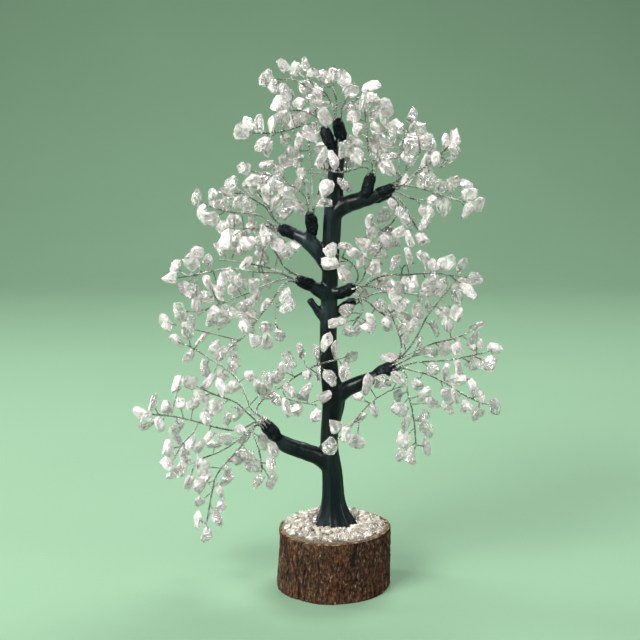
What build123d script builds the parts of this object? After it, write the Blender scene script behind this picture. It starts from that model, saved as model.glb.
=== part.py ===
"""Gemstone tree ornament: a log slice, a moulded trunk and sprays of wired quartz chips.

Millimetres, +Z up, origin at the middle of the slice's underside, -Y towards the viewer.
Every stub of the trunk carries a spray: stems lie along the stub under a wound binding,
twigs branch off the stems, and each twig ends in a loop that runs through a drilled chip.
"""

from build123d import *
from math import atan2, cos, degrees, pi, radians, sin, sqrt, tan
import os

import numpy as np

# Base: a slice of log with its bark, and the gravel glued on it
slice_diameter = 64.0
slice_height = 33.0
bark_thickness = 3.2
cambium_gap = 0.1
rim_slant = 1.6
glue_thickness = 0.8
stone_size = 2.9
gravel_dome = 4.4
peg_diameter = 7.0
peg_depth = 14.0
peg_clearance = 0.15

# Tree: the crown stands on the slice, and its shares are read in hundredths of the whole height
crown_height = 257.0
slice_top_share = 11.4
full_share = 100.0
trunk_depth_share = 0.9

# Stubs and their bindings
neck_length = 6.0
neck_bevel = 0.35
binding_wire = 0.55
binding_pitch = 1.15
binding_turns = 4
binding_gap = 0.15

# Stems, twigs and chips
stem_wire = 1.2
side_wire = 0.95
twig_wire = 0.8
strand_wire = 0.38
joint_gap = 0.08
slot_gap = 0.12
stem_exit = 3.0
chip_length = 10.0
chip_width = 8.0
chip_thickness = 5.6
hole_diameter = 1.0
loop_lead = 0.4
wire_clearance = 0.45
chip_clearance = 0.25
shortest_twig = 1.6
usual_twig = 3.0
twig_limits = (12.0, 18.0, 26.0, 40.0)
foot_spacing = 0.7
most_tries = 12

golden_turn = 360 * (3 - sqrt(5)) / 2
hundredth = crown_height / (full_share - slice_top_share)

# Where the tree is seen from, in hundredths: x, y and height above the table
eye_shares = (-2.7, -245.2, 94.9)

# Trunk outline: height, left edge, right edge, and how deep its flutes are
trunk_edge_shares = [
    (11.4, -4.1, 4.5, 0.08),
    (12.5, -3.6, 4.0, 0.08),
    (14.2, -3.0, 3.0, 0.07),
    (18.0, -2.4, 1.9, 0.05),
    (24.0, -2.6, 1.3, 0.03),
    (32.0, -2.6, 1.2, 0.03),
    (40.0, -2.6, 1.3, 0.03),
    (48.0, -2.9, 0.5, 0.03),
    (56.0, -2.6, 0.6, 0.03),
    (64.0, -2.4, 0.9, 0.03),
    (71.0, -2.1, 1.3, 0.03),
    (77.5, -1.5, 1.6, 0.03),
    (83.6, -1.4, 1.6, 0.03),
]
flutes = 7
points_a_flute = 3

# Limbs of the trunk, from inside it to the stub's end: x, height, depth, radius
limb_shares = {
    "crown_left": [(0.0, 80.5, 0.0, 1.2), (-0.6, 83.6, 0.0, 0.95), (-2.1, 87.2, -0.4, 0.45)],
    "crown_right": [(0.1, 78.6, 0.0, 1.1), (0.8, 83.2, 0.1, 1.0), (0.6, 88.8, 0.4, 0.45)],
    "upper_right_spur": [(4.6, 74.4, -1.6, 1.0), (5.9, 76.0, -2.2, 0.75), (6.7, 78.8, -2.4, 0.42)],
    "upper_right": [
        (-0.2, 71.4, 0.0, 1.7), (3.2, 73.6, -0.8, 1.6), (6.8, 74.6, -1.8, 1.35), (10.8, 76.4, -3.2, 0.44)],
    "upper_right_low": [(4.0, 74.2, -0.8, 1.1), (6.6, 74.8, 0.6, 0.85), (10.2, 75.2, 2.6, 0.44)],
    "upper_left": [
        (-0.6, 61.2, 0.0, 1.8), (-3.2, 64.8, 0.3, 1.6), (-5.8, 67.0, 0.9, 1.35), (-10.2, 69.0, 2.0, 0.5)],
    "upper_left_spur": [(-4.2, 66.4, 0.2, 1.0), (-4.5, 68.6, -0.4, 0.8), (-4.4, 71.6, -1.4, 0.44)],
    "mid_left": [(-0.4, 56.4, 0.0, 1.6), (-3.4, 57.6, -0.6, 1.35), (-6.9, 59.4, -1.6, 0.5)],
    "mid_right": [(-1.4, 56.8, 0.0, 1.3), (0.8, 57.0, -1.0, 1.0), (3.6, 57.8, -2.6, 0.44)],
    "mid_right_low": [(-1.2, 51.8, 0.0, 1.1), (0.8, 53.2, 1.0, 0.8), (3.6, 55.2, 2.6, 0.44)],
    "lower_right": [
        (-0.6, 35.8, 0.0, 1.8), (3.0, 38.8, -0.4, 1.55), (6.6, 40.4, -1.2, 1.3), (11.2, 42.8, -2.2, 0.66)],
    "lower_left": [
        (-0.8, 23.2, 0.0, 1.9), (-4.6, 26.0, -0.6, 1.7), (-9.4, 27.8, -1.7, 1.5), (-13.3, 31.9, -2.6, 0.68)],
}
bare_stub_shares = [(-1.2, 51.6, 0.0, 1.0), (-3.4, 53.8, -0.8, 0.78), (-4.7, 55.6, -1.4, 0.7)]

# Stems of each stub after its neck: x, height, depth
stem_shares = {
    "crown_left": [
        [(-4.8, 88.0, -1.0), (-7.2, 87.2, -1.4), (-10.1, 86.4, -1.6), (-13.8, 86.2, -1.2)],
        [(-3.6, 89.4, 1.4), (-5.2, 90.2, 2.4), (-7.6, 90.4, 3.2)],
        [(-2.6, 89.8, 2.8), (-3.2, 91.6, 6.0), (-4.8, 92.0, 9.0)],
    ],
    "crown_right": [
        [(-0.8, 91.8, -0.4), (-1.6, 93.4, -1.0), (-3.2, 94.8, -1.4), (-5.2, 95.9, -1.4)],
        [(0.4, 92.2, 1.6), (-0.5, 94.6, 2.4)],
        [(2.0, 91.2, -1.0), (3.7, 92.3, -1.6), (5.4, 93.0, -1.6)],
        [(1.4, 91.0, 3.4), (2.2, 92.6, 6.4), (1.6, 94.0, 9.4)],
    ],
    "upper_right_spur": [
        [(6.7, 81.4, -2.6), (6.1, 83.4, -2.8), (5.8, 86.2, -2.4), (5.5, 89.8, -2.0)],
        [(4.8, 80.2, -3.8), (1.6, 79.0, -4.8), (-0.8, 79.4, -4.8), (-3.6, 80.3, -4.0)],
        [(7.6, 81.0, 1.2), (8.4, 83.4, 5.0), (9.4, 85.4, 8.0)],
    ],
    "upper_right": [
        [(13.0, 79.2, -4.0), (14.8, 81.4, -4.4), (15.6, 83.0, -4.4)],
        [(14.4, 78.8, -2.2), (17.0, 80.4, -1.6), (19.8, 82.8, -1.2)],
        [(11.6, 80.0, -2.2), (11.9, 83.4, -1.8), (13.2, 86.6, -1.4)],
        [(14.4, 76.6, -4.2), (17.3, 75.8, -4.6), (19.8, 74.8, -4.6), (23.3, 73.8, -4.2)],
    ],
    "upper_right_low": [
        [(13.6, 74.4, 3.2), (16.4, 73.9, 4.0), (19.2, 74.8, 4.8), (21.2, 76.2, 5.4)],
        [(12.8, 73.2, 1.8), (14.0, 70.8, 1.2), (15.2, 68.8, 1.2)],
        [(12.2, 72.6, 4.6), (10.6, 69.8, 5.2), (8.6, 67.8, 5.0)],
        [(13.2, 76.6, 5.6), (14.8, 78.6, 8.4), (15.8, 80.6, 10.8)],
    ],
    "upper_left": [
        [(-13.2, 71.2, 2.0), (-16.2, 71.7, 1.6), (-20.0, 71.9, 1.2), (-23.2, 73.0, 0.8)],
        [(-12.6, 72.8, 0.8), (-14.6, 74.0, -0.6), (-17.4, 75.6, -1.4)],
        [(-12.8, 69.8, 4.0), (-15.0, 68.8, 5.6), (-17.6, 68.0, 7.0)],
        [(-12.8, 69.3, -1.4), (-14.4, 68.8, -3.2), (-16.8, 68.8, -4.4)],
        [(-12.0, 72.4, 5.2), (-13.0, 74.2, 8.6), (-14.6, 75.4, 11.6)],
    ],
    "upper_left_spur": [
        [(-5.2, 74.6, -2.4), (-7.2, 76.4, -3.0), (-9.6, 77.4, -3.2), (-12.0, 78.7, -3.0), (-14.8, 79.2, -2.6)],
        [(-4.2, 75.6, -1.0), (-4.1, 79.4, -0.4), (-4.6, 82.6, 0.2), (-4.8, 85.0, 0.4)],
        [(-4.6, 74.4, 1.4), (-5.6, 77.2, 4.4), (-6.2, 79.8, 7.0)],
        [(-3.4, 74.2, -3.0), (-2.8, 76.0, -4.0), (-2.5, 77.8, -4.4)],
    ],
    "mid_left": [
        [(-9.6, 61.8, -2.0), (-10.4, 63.6, -2.2), (-12.0, 65.8, -2.4), (-14.2, 67.4, -2.2)],
        [(-10.2, 60.6, -3.4), (-13.6, 60.6, -4.2), (-19.6, 61.5, -4.6), (-24.0, 60.6, -4.2), (-27.2, 59.9, -3.6)],
        [(-9.6, 58.4, -3.6), (-10.8, 56.6, -3.8), (-12.0, 54.8, -3.8), (-14.0, 52.4, -3.4), (-15.8, 49.8, -3.0),
         (-17.8, 47.8, -2.6)],
        [(-10.4, 59.2, 0.2), (-13.4, 58.0, 1.4), (-17.0, 56.4, 2.0), (-21.0, 54.8, 2.2), (-24.2, 53.6, 2.0)],
        [(-10.0, 60.8, 2.0), (-13.2, 61.8, 4.6), (-17.4, 62.6, 6.2), (-21.4, 63.0, 7.0)],
    ],
    "mid_right": [
        [(5.8, 61.0, -3.2), (7.2, 63.2, -3.4), (8.6, 65.2, -3.4)],
        [(7.2, 59.4, -4.2), (10.2, 60.3, -4.6), (13.0, 60.1, -4.8), (16.2, 60.5, -4.6), (19.6, 60.4, -4.2),
         (22.4, 60.0, -3.8)],
        [(6.2, 58.2, -5.6), (8.0, 57.6, -6.6), (10.0, 57.2, -7.2)],
        [(4.4, 60.6, -4.6), (3.4, 62.4, -5.2), (1.4, 63.4, -5.6)],
    ],
    "mid_right_low": [
        [(6.8, 56.6, 4.0), (9.4, 57.0, 5.0), (12.6, 56.8, 5.8), (15.4, 56.4, 6.4)],
        [(6.2, 55.2, 2.8), (7.8, 53.6, 2.4), (9.4, 52.6, 2.2)],
        [(5.4, 54.2, 1.4), (5.0, 52.6, 0.2), (3.6, 51.6, -0.8)],
        [(5.6, 58.0, 5.4), (7.0, 60.4, 8.0), (8.8, 62.2, 10.4)],
    ],
    "lower_right": [
        [(12.8, 46.6, -2.6), (11.8, 50.0, -2.8), (10.2, 53.4, -2.8)],
        [(14.0, 46.2, -1.0), (15.8, 49.2, -0.4), (17.2, 52.4, 0.0), (19.4, 55.2, 0.2), (21.6, 57.8, 0.2)],
        [(15.0, 45.6, -3.0), (18.2, 47.2, -3.4), (21.6, 47.9, -3.4), (24.6, 49.0, -3.2)],
        [(15.2, 43.6, -4.2), (17.9, 43.8, -4.8), (20.6, 43.9, -5.2), (23.6, 44.4, -5.2), (27.6, 45.3, -4.8)],
        [(14.6, 42.0, -1.6), (17.4, 41.4, -1.4), (21.0, 39.6, -1.2), (24.6, 37.2, -1.2), (28.2, 35.6, -1.2)],
        [(13.6, 41.2, -3.4), (13.6, 38.6, -3.8), (14.6, 35.0, -4.0), (15.2, 31.6, -3.8), (15.5, 27.6, -3.6)],
        [(14.2, 44.4, 1.6), (16.2, 45.8, 5.4), (18.2, 45.6, 9.2)],
    ],
    "lower_left": [
        [(-15.8, 34.4, -2.4), (-16.8, 37.8, -2.4), (-18.4, 40.6, -2.2), (-20.5, 42.6, -2.0),
         (-22.9, 44.0, -2.0), (-25.2, 45.6, -1.8), (-27.4, 46.8, -1.6)],
        [(-16.4, 33.8, -4.0), (-18.4, 35.9, -4.8), (-20.8, 36.8, -5.2), (-23.2, 37.6, -5.0)],
        [(-16.4, 31.2, -4.6), (-19.0, 30.3, -5.4), (-22.4, 31.0, -5.8), (-26.9, 32.4, -5.4), (-30.6, 33.3, -4.8),
         (-34.6, 33.6, -4.2)],
        [(-16.2, 30.4, -1.4), (-18.4, 28.4, -0.8), (-21.2, 26.5, -0.6), (-24.5, 25.2, -0.6), (-27.8, 23.8, -0.8)],
        [(-16.2, 29.6, -3.2), (-18.0, 26.8, -3.6), (-20.6, 24.2, -3.6), (-22.6, 21.6, -3.4), (-23.4, 18.2, -3.2),
         (-24.0, 14.8, -3.0), (-24.5, 12.0, -3.0)],
        [(-15.6, 30.0, -5.0), (-14.6, 27.8, -5.8), (-14.0, 25.2, -6.0), (-13.7, 22.8, -6.0)],
        [(-14.9, 34.8, -0.6), (-13.2, 36.8, -1.6), (-10.2, 38.8, -3.2), (-7.2, 41.0, -4.4), (-3.4, 43.2, -5.2),
         (0.8, 44.2, -5.4)],
        [(-15.8, 33.6, 1.8), (-17.2, 34.6, 5.6), (-19.4, 35.0, 9.2)],
    ],
}

# Side stems that branch off the nearest stem of their spray: x, height, depth
side_stem_shares = {
    "crown_right": [[(-7.8, 96.0, -1.8), (-9.8, 95.7, -1.8)]],
    "mid_left": [[(-10.9, 54.2, -4.6), (-11.0, 50.4, -4.8)]],
    "mid_right": [[(12.6, 61.9, -5.6), (14.8, 62.4, -5.8)]],
    "lower_right": [[(11.4, 38.6, -5.0), (8.6, 37.2, -5.6), (5.9, 35.0, -5.8), (3.6, 31.8, -5.6)]],
    "lower_left": [
        [(-26.6, 30.0, -6.8), (-28.8, 28.0, -7.0), (-30.4, 25.0, -7.0)],
        [(-9.2, 36.6, -3.4), (-6.4, 35.9, -4.4), (-3.4, 35.4, -4.8)],
    ],
}

# Chips of each spray, as seen: x, height
chip_shares = {
    "crown_left": [
        (-15.6, 87.6), (-14.0, 88.0), (-17.0, 86.4), (-13.1, 84.6), (-12.4, 83.2), (-9.1, 84.7), (-6.7, 84.6),
        (-5.4, 89.2), (-4.6, 86.0), (-8.6, 92.2), (-10.3, 91.6), (-9.9, 88.9), (-11.4, 87.8), (-7.6, 88.6),
        (-3.6, 91.6), (-6.2, 91.8)],
    "crown_right": [
        (-5.2, 98.6), (-4.2, 97.0), (-5.2, 94.2), (-3.2, 92.9), (-9.0, 98.2), (-11.2, 94.6), (-12.2, 96.2),
        (-9.2, 93.7), (-2.2, 96.4), (-0.2, 97.0), (-1.7, 91.3), (7.0, 92.6), (6.8, 94.8), (4.9, 91.2),
        (2.9, 94.0), (-7.2, 97.7), (-2.0, 89.2), (1.4, 95.8), (3.0, 90.4)],
    "upper_right_spur": [
        (3.6, 88.9), (7.4, 89.6), (9.2, 88.6), (9.4, 90.8), (3.9, 84.5), (7.7, 85.0), (4.2, 82.4), (2.4, 81.0),
        (2.1, 83.4), (1.7, 76.8), (7.5, 87.3), (5.2, 91.9), (-0.4, 81.6), (-2.4, 82.2), (4.1, 86.7),
        (7.8, 82.4)],
    "upper_right": [
        (9.6, 80.0), (9.9, 82.0), (13.2, 82.0), (9.3, 84.2), (11.6, 87.5), (15.0, 87.1), (14.2, 89.6),
        (10.6, 86.0), (13.6, 84.6), (12.8, 77.6), (14.0, 83.4), (16.2, 85.0), (17.6, 83.6), (15.8, 77.9),
        (17.2, 78.9), (21.8, 85.2), (20.2, 84.8), (20.6, 81.0), (21.9, 83.2), (18.4, 81.9), (20.3, 72.9),
        (24.4, 72.1), (26.4, 73.3), (17.2, 77.6), (25.0, 75.4), (21.4, 76.4), (18.0, 74.1), (16.6, 80.9)],
    "upper_right_low": [
        (17.0, 72.2), (16.2, 67.2), (12.9, 70.4), (13.8, 67.0), (8.6, 66.0), (10.6, 66.6), (12.2, 68.4),
        (6.6, 70.4), (6.7, 68.4), (9.2, 71.4), (10.6, 73.6), (12.2, 71.8), (10.4, 68.4), (16.8, 70.2),
        (22.0, 77.6), (23.6, 76.8), (5.9, 66.7), (8.2, 64.4), (19.4, 76.6)],
    "upper_left": [
        (-25.2, 74.2), (-22.4, 74.8), (-19.7, 73.8), (-22.6, 70.7), (-18.7, 70.0), (-18.6, 66.7), (-20.6, 68.9),
        (-16.6, 67.2), (-13.2, 67.9), (-11.5, 66.8), (-10.3, 65.5), (-8.8, 72.0), (-18.8, 77.3), (-15.1, 76.6),
        (-15.8, 73.0), (-12.5, 75.0), (-11.1, 73.6), (-10.6, 76.5), (-24.6, 71.8), (-20.4, 75.6), (-17.2, 73.6),
        (-13.6, 66.1), (-15.0, 70.4), (-17.2, 65.4), (-19.8, 66.6), (-13.2, 77.8), (-8.0, 65.4), (-12.0, 68.6),
        (-21.4, 73.2)],
    "upper_left_spur": [
        (-16.5, 79.8), (-12.6, 80.4), (-9.1, 81.0), (-10.2, 79.4), (-6.9, 81.2), (-6.2, 78.6), (-7.9, 73.8),
        (-6.4, 72.4), (-2.7, 83.8), (-6.5, 84.6), (-2.4, 81.0), (-1.6, 79.0), (-1.4, 76.4), (-2.0, 73.4),
        (-8.8, 75.4), (-11.6, 76.9), (-14.2, 77.6), (-8.0, 82.8), (-3.8, 87.0), (-6.4, 76.9)],
    "mid_left": [
        (-15.6, 69.0), (-12.6, 67.8), (-10.2, 65.4), (-13.4, 64.0), (-15.9, 65.9), (-25.1, 64.3), (-26.7, 62.8),
        (-29.6, 61.6), (-30.4, 59.4), (-27.8, 57.6), (-26.0, 62.0), (-28.6, 53.2), (-27.2, 51.4), (-31.4, 51.2),
        (-23.1, 51.6), (-20.6, 51.5), (-18.4, 64.8), (-21.0, 65.1), (-23.2, 62.6), (-16.4, 62.6), (-19.0, 59.6),
        (-17.4, 58.8), (-20.8, 59.2), (-23.4, 58.6), (-15.2, 58.4), (-13.2, 62.5), (-14.4, 56.2), (-16.4, 54.6),
        (-18.8, 57.2), (-21.4, 57.0), (-24.0, 56.0), (-19.4, 53.3), (-22.6, 52.9), (-25.8, 54.6), (-26.2, 57.0),
        (-17.2, 52.6), (-12.6, 58.8), (-8.5, 54.2), (-10.3, 48.9), (-12.4, 47.4), (-13.0, 50.4), (-15.4, 52.2),
        (-16.8, 50.4), (-15.0, 47.9), (-19.2, 46.5), (-20.8, 45.2), (-12.8, 54.6), (-9.0, 56.0), (-9.0, 64.2)],
    "mid_right": [
        (9.8, 66.6), (7.0, 65.2), (4.9, 63.0), (7.8, 61.8), (2.1, 65.4), (3.4, 64.4), (2.0, 60.9), (-0.9, 62.4),
        (23.4, 61.9), (25.8, 59.6), (23.2, 58.4), (25.0, 57.4), (13.6, 63.6), (16.4, 63.4), (18.6, 62.2),
        (7.7, 60.8), (8.8, 58.9), (10.9, 56.1), (12.0, 57.8), (14.4, 58.4), (17.2, 58.7), (20.4, 58.6),
        (11.4, 62.4), (20.8, 62.2), (5.0, 66.2), (-0.7, 64.8)],
    "mid_right_low": [
        (5.0, 56.9), (1.0, 51.2), (2.3, 53.2), (2.6, 49.6), (7.0, 51.2), (9.8, 50.6), (11.0, 53.2), (12.0, 55.0),
        (15.8, 54.8), (17.4, 56.9), (9.8, 58.6), (13.4, 58.6), (6.3, 49.8), (4.6, 50.2)],
    "lower_right": [
        (8.6, 54.8), (9.6, 51.6), (13.2, 51.9), (15.3, 53.2), (18.9, 58.9), (19.4, 57.4), (23.0, 56.0),
        (20.4, 53.2), (22.7, 53.2), (21.2, 51.1), (18.5, 50.4), (26.4, 48.6), (26.6, 50.6), (23.2, 46.3),
        (26.3, 47.0), (30.0, 46.1), (23.2, 42.3), (26.2, 43.3), (28.9, 43.6), (18.4, 42.0), (20.8, 41.8),
        (23.5, 40.2), (22.8, 36.8), (26.2, 38.8), (27.6, 37.4), (30.3, 35.2), (27.1, 33.6), (21.0, 37.6),
        (21.4, 34.9), (25.0, 34.9), (12.6, 34.6), (17.2, 33.6), (13.4, 31.4), (17.4, 30.6), (13.2, 28.8),
        (14.8, 25.1), (17.4, 27.2), (13.2, 26.4), (16.6, 37.4), (15.6, 39.6), (12.0, 40.2), (10.6, 44.6),
        (6.3, 39.4), (9.4, 39.8), (15.8, 47.4), (17.8, 45.6), (20.8, 46.0), (12.6, 49.0), (14.6, 50.8),
        (12.2, 54.4), (17.4, 54.9), (4.7, 36.9), (5.3, 33.0), (7.6, 34.4), (0.4, 31.2), (-0.9, 27.0),
        (4.3, 28.4), (2.2, 29.6), (18.4, 35.8), (12.0, 37.0)],
    "lower_left": [
        (-29.6, 48.0), (-27.4, 49.4), (-25.0, 48.0), (-27.2, 44.8), (-22.6, 46.2), (-21.4, 41.2), (-24.2, 42.6),
        (-18.9, 43.2), (-19.2, 38.7), (-16.2, 41.0), (-14.6, 38.8), (-23.7, 39.8), (-21.4, 39.0), (-25.4, 37.2),
        (-27.2, 39.6), (-29.4, 39.1), (-22.1, 35.0), (-24.2, 34.2), (-26.6, 35.6), (-29.1, 35.4), (-17.9, 33.6),
        (-36.6, 33.9), (-34.2, 35.4), (-35.6, 31.9), (-33.0, 31.5), (-31.8, 35.2), (-29.4, 31.1), (-24.6, 33.0),
        (-20.2, 32.4), (-20.9, 28.8), (-24.0, 29.0), (-29.9, 29.6), (-31.6, 26.7), (-31.6, 23.8), (-31.0, 21.6),
        (-27.2, 27.9), (-22.6, 27.7), (-28.4, 26.0), (-29.4, 22.8), (-26.0, 27.0), (-25.2, 23.4), (-18.6, 24.6),
        (-16.9, 25.6), (-20.4, 22.2), (-27.6, 20.6), (-25.8, 19.4), (-24.6, 21.4), (-20.8, 20.4), (-21.6, 17.8),
        (-21.8, 15.6), (-25.6, 16.4), (-22.4, 13.0), (-26.2, 12.8), (-24.5, 9.8), (-17.2, 28.9), (-13.0, 28.6),
        (-11.9, 26.6), (-15.6, 23.6), (-12.0, 23.9), (-14.6, 20.4), (-12.2, 20.6), (-17.8, 30.6), (-11.0, 36.6),
        (-8.2, 38.2), (-5.2, 38.4), (-12.5, 40.2), (-10.0, 42.0), (-8.4, 43.8), (-6.3, 45.4), (-5.2, 41.2),
        (-3.0, 41.2), (-0.9, 41.0), (-0.1, 46.0), (1.9, 42.2), (3.2, 44.9), (-1.6, 47.4), (-3.0, 45.4),
        (-10.6, 40.6), (-1.8, 37.0), (-3.6, 33.4), (-7.4, 34.2), (-5.6, 37.4), (-9.2, 34.8), (-13.2, 38.4)],
}


def seen(x, z, depth=0.0):
    """The place seen at (x, z) on the tree's middle plane, pushed back by depth along its line of sight."""
    eye = Vector(*eye_shares)
    flat = Vector(x, 0, z)
    place = eye + (flat - eye) * (1 - depth / eye.Y)
    return Vector(place.X * hundredth, place.Y * hundredth, slice_height + (place.Z - slice_top_share) * hundredth)


def as_array(vector):
    """A place or direction as three numbers that numpy can work on."""
    return np.array(tuple(vector))


def unit(array):
    """The direction of an array of three numbers."""
    return array / np.linalg.norm(array)


# Base

slice_radius = slice_diameter / 2
bark_lobes = 9
bark_wave_share = 0.012
heart_radius = slice_radius - bark_thickness
points_a_lobe = 2

# Bark at its foot, waist and rim: share of the height, share of the radius, how far it leans left, and its phase
bark_levels = [(0, 1.012, 0.026, 0.4), (0.48, 0.982, 0.012, 0.9), (1, 0.985, 0, 0.4)]


def bark_outline(mean_radius, lean, phase):
    """A closed wavy outline round the slice: two unlike waves added to its radius, and the whole set to the left."""
    count = bark_lobes * points_a_lobe
    points = []
    for index in range(count):
        turn = 2 * pi * index / count
        wave = sin(3 * turn + phase) + sin((bark_lobes - 2) * turn + 2 * phase)
        radius = mean_radius * (1 + bark_wave_share * wave)
        points.append((radius * cos(turn) - lean, radius * sin(turn)))
    Spline(*points, periodic=True)


with BuildPart() as bark_ring:
    for height_share, size_share, lean_share, phase in bark_levels:
        height = height_share * (slice_height + rim_slant)
        with BuildSketch(Plane.XY.offset(height)):
            with BuildLine():
                bark_outline(slice_radius * size_share, slice_radius * lean_share, phase)
            make_face()
    loft()
    Hole(heart_radius + cambium_gap)
    rim_turn = degrees(atan2(rim_slant, slice_diameter))
    split(bisect_by=Plane.XY.offset(slice_height).rotated((0, -rim_turn, 0)), keep=Keep.BOTTOM)
bark_ring.part.label = "bark_ring"

with BuildPart() as wood_slice:
    Cylinder(heart_radius, slice_height, align=(Align.CENTER, Align.CENTER, Align.MIN))
    with Locations((0, 0, slice_height)):
        Hole(peg_diameter / 2 + peg_clearance, depth=peg_depth + peg_clearance)
wood_slice.part.label = "wood_slice"

# Trunk: a fluted, tapering column with a limb for each spray and one bare stub


def trunk_section(z, left, right, flute):
    """The trunk's outline at one height: an ellipse between its two edges, waved by its flutes."""
    count = flutes * points_a_flute
    half = (right - left) / 2 * hundredth
    points = []
    for index in range(count):
        turn = 2 * pi * index / count
        swell = 1 + flute * cos(flutes * turn)
        points.append((half * swell * cos(turn), half * swell * trunk_depth_share * sin(turn)))
    Spline(*points, periodic=True)


def limb_course(shares):
    """The places and radii of a limb, with its neck's start and end as the last two places."""
    places = [seen(x, z, depth) for x, z, depth, radius in shares]
    radii = [radius * hundredth for x, z, depth, radius in shares]
    axis = (places[-1] - places[-2]).normalized()
    places.insert(-1, places[-1] - axis * neck_length)
    radii.insert(-1, radii[-1])
    return places, radii


def limb_solid(shares):
    """A limb lofted through circles along its course, then its straight neck."""
    places, radii = limb_course(shares)
    with BuildPart() as limb:
        for index, (place, radius) in enumerate(zip(places[:-1], radii[:-1])):
            ahead = places[index + 1] - place
            behind = place - places[index - 1] if index else ahead
            with BuildSketch(Plane(place, z_dir=ahead.normalized() + behind.normalized())):
                Circle(radius)
        loft()
        with BuildSketch(Plane(places[-2], z_dir=places[-1] - places[-2])):
            Circle(radii[-1])
        extrude(amount=neck_length)
        chamfer(limb.faces().sort_by_distance(places[-1])[0].edges(), length=neck_bevel)
    return limb.part


with BuildPart() as trunk:
    for z, left, right, flute in trunk_edge_shares:
        middle = seen((left + right) / 2, z)
        with BuildSketch(Plane(middle)):
            with BuildLine():
                trunk_section(z, left, right, flute)
            make_face()
    loft()
    for shares in [*limb_shares.values(), bare_stub_shares]:
        add(limb_solid(shares))
    with BuildSketch(Plane((0, 0, slice_height - peg_depth))):
        Circle(peg_diameter / 2)
    extrude(amount=peg_depth + stone_size)
trunk.part.label = "trunk"


# Clearance: everything placed so far is kept as balls along its middle line


class Crowd:
    """Balls that fill the places already taken."""

    def __init__(self):
        self.centres = np.empty((0, 3))
        self.radii = np.empty(0)

    def put(self, centres, radii):
        """Adds balls."""
        centres = np.atleast_2d(centres)
        self.centres = np.vstack([self.centres, centres])
        self.radii = np.append(self.radii, np.broadcast_to(radii, len(centres)))

    def gap(self, centres, radii):
        """The least gap between some new balls and all that are in place."""
        if not len(self.radii):
            return float("inf")
        apart = np.linalg.norm(np.atleast_2d(centres)[:, None] - self.centres[None], axis=2)
        return float((apart - np.reshape(radii, (-1, 1)) - self.radii[None]).min())


ball_step = 1.2


def along(start, end):
    """Places from start to end, about a ball step apart."""
    count = max(2, int(np.linalg.norm(end - start) / ball_step) + 1)
    return start + np.linspace(0, 1, count)[:, None] * (end - start)


wood = Crowd()
for low, high in zip(trunk_edge_shares, trunk_edge_shares[1:]):
    ends = [as_array(seen((left + right) / 2, z)) for z, left, right, flute in (low, high)]
    middles = along(*ends)
    half_widths = [(right - left) / 2 * (1 + flute) * hundredth for z, left, right, flute in (low, high)]
    wood.put(middles, np.linspace(*half_widths, len(middles)))
for shares in [*limb_shares.values(), bare_stub_shares]:
    places, radii = limb_course(shares)
    for index in range(len(places) - 1):
        middles = along(as_array(places[index]), as_array(places[index + 1]))
        wood.put(middles, np.linspace(radii[index], radii[index + 1], len(middles)))

# Wires: routes of straight runs joined by tangent arcs

bend_share = 0.45


def bend_radii(points):
    """The radius at each inner point: a share of its shorter run, over the tangent of half its turn."""
    radii = []
    for before, here, after in zip(points, points[1:], points[2:]):
        run_in, run_out = here - before, after - here
        half_turn = radians(run_in.get_angle(run_out)) / 2
        radii.append(bend_share * min(run_in.length, run_out.length) / tan(half_turn))
    return radii


def wire_tube(points, diameter):
    """A round wire along a route."""
    with BuildPart() as tube:
        with BuildLine() as route:
            FilletPolyline(*points, radius=bend_radii(points))
        with BuildSketch(Plane(route.line @ 0, z_dir=route.line % 0)):
            Circle(diameter / 2)
        sweep()
    return tube.part


def route_samples(points):
    """Places and directions along a route, its arcs as rational curves of second degree."""
    corners = [as_array(point) for point in points]
    samples = []
    here = corners[0]
    for before, corner, after in zip(corners, corners[1:], corners[2:]):
        reach = bend_share * min(np.linalg.norm(corner - before), np.linalg.norm(after - corner))
        arc_start = corner - unit(corner - before) * reach
        arc_end = corner + unit(after - corner) * reach
        weight = sqrt((1 + unit(corner - before) @ unit(after - corner)) / 2)
        samples.extend(along(here, arc_start)[:-1])
        steps = np.linspace(0, 1, max(3, int(2 * reach / ball_step)))[:-1, None]
        low, mid, high = (1 - steps) ** 2, 2 * weight * steps * (1 - steps), steps**2
        samples.extend((low * arc_start + mid * corner + high * arc_end) / (low + mid + high))
        here = arc_end
    samples.extend(along(here, corners[-1]))
    samples = np.array(samples)
    headings = np.gradient(samples, axis=0)
    return samples, headings / np.linalg.norm(headings, axis=1)[:, None]


class Stem:
    """One wire of a spray: its route, its thickness and places along it."""

    def __init__(self, points, diameter, bare_from=0.0):
        self.points = points
        self.diameter = diameter
        self.bare_from = bare_from
        self.places, self.headings = route_samples(points)
        self.balls = np.full(len(self.places), diameter / 2)


depth_steps = [0, 1, -1, 2, -2, 3, -3, 4, -4, 5, -5, 6, -6, 7, -7, 8, -8, 9, -9, 10, -10, 11, -11, 12, -12]
stem_depth_share = 0.5
chip_depth_share = 0.9
chip_spread_share = 5.5
kind_stride = 7


def slot_turns(axis, aims):
    """Even slots round a neck, given out in the order in which the stems leave it."""
    side = unit(np.cross(axis, (0, 1, 0)))
    up = np.cross(side, axis)
    wanted = np.array([atan2(aim @ up, aim @ side) for aim in aims])
    order = np.argsort(wanted)
    first = wanted[order[0]]
    turns = np.empty(len(aims))
    turns[order] = first + 2 * pi * np.arange(len(aims)) / len(aims)
    return [cos(turn) * side + sin(turn) * up for turn in turns]


def stem_points(shares, shift):
    """The route that shares describe, leaning back by shift hundredths at its end."""
    count = len(shares)
    return [seen(x, z, depth + shift * (index + 1) / count) for index, (x, z, depth) in enumerate(shares)]


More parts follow.
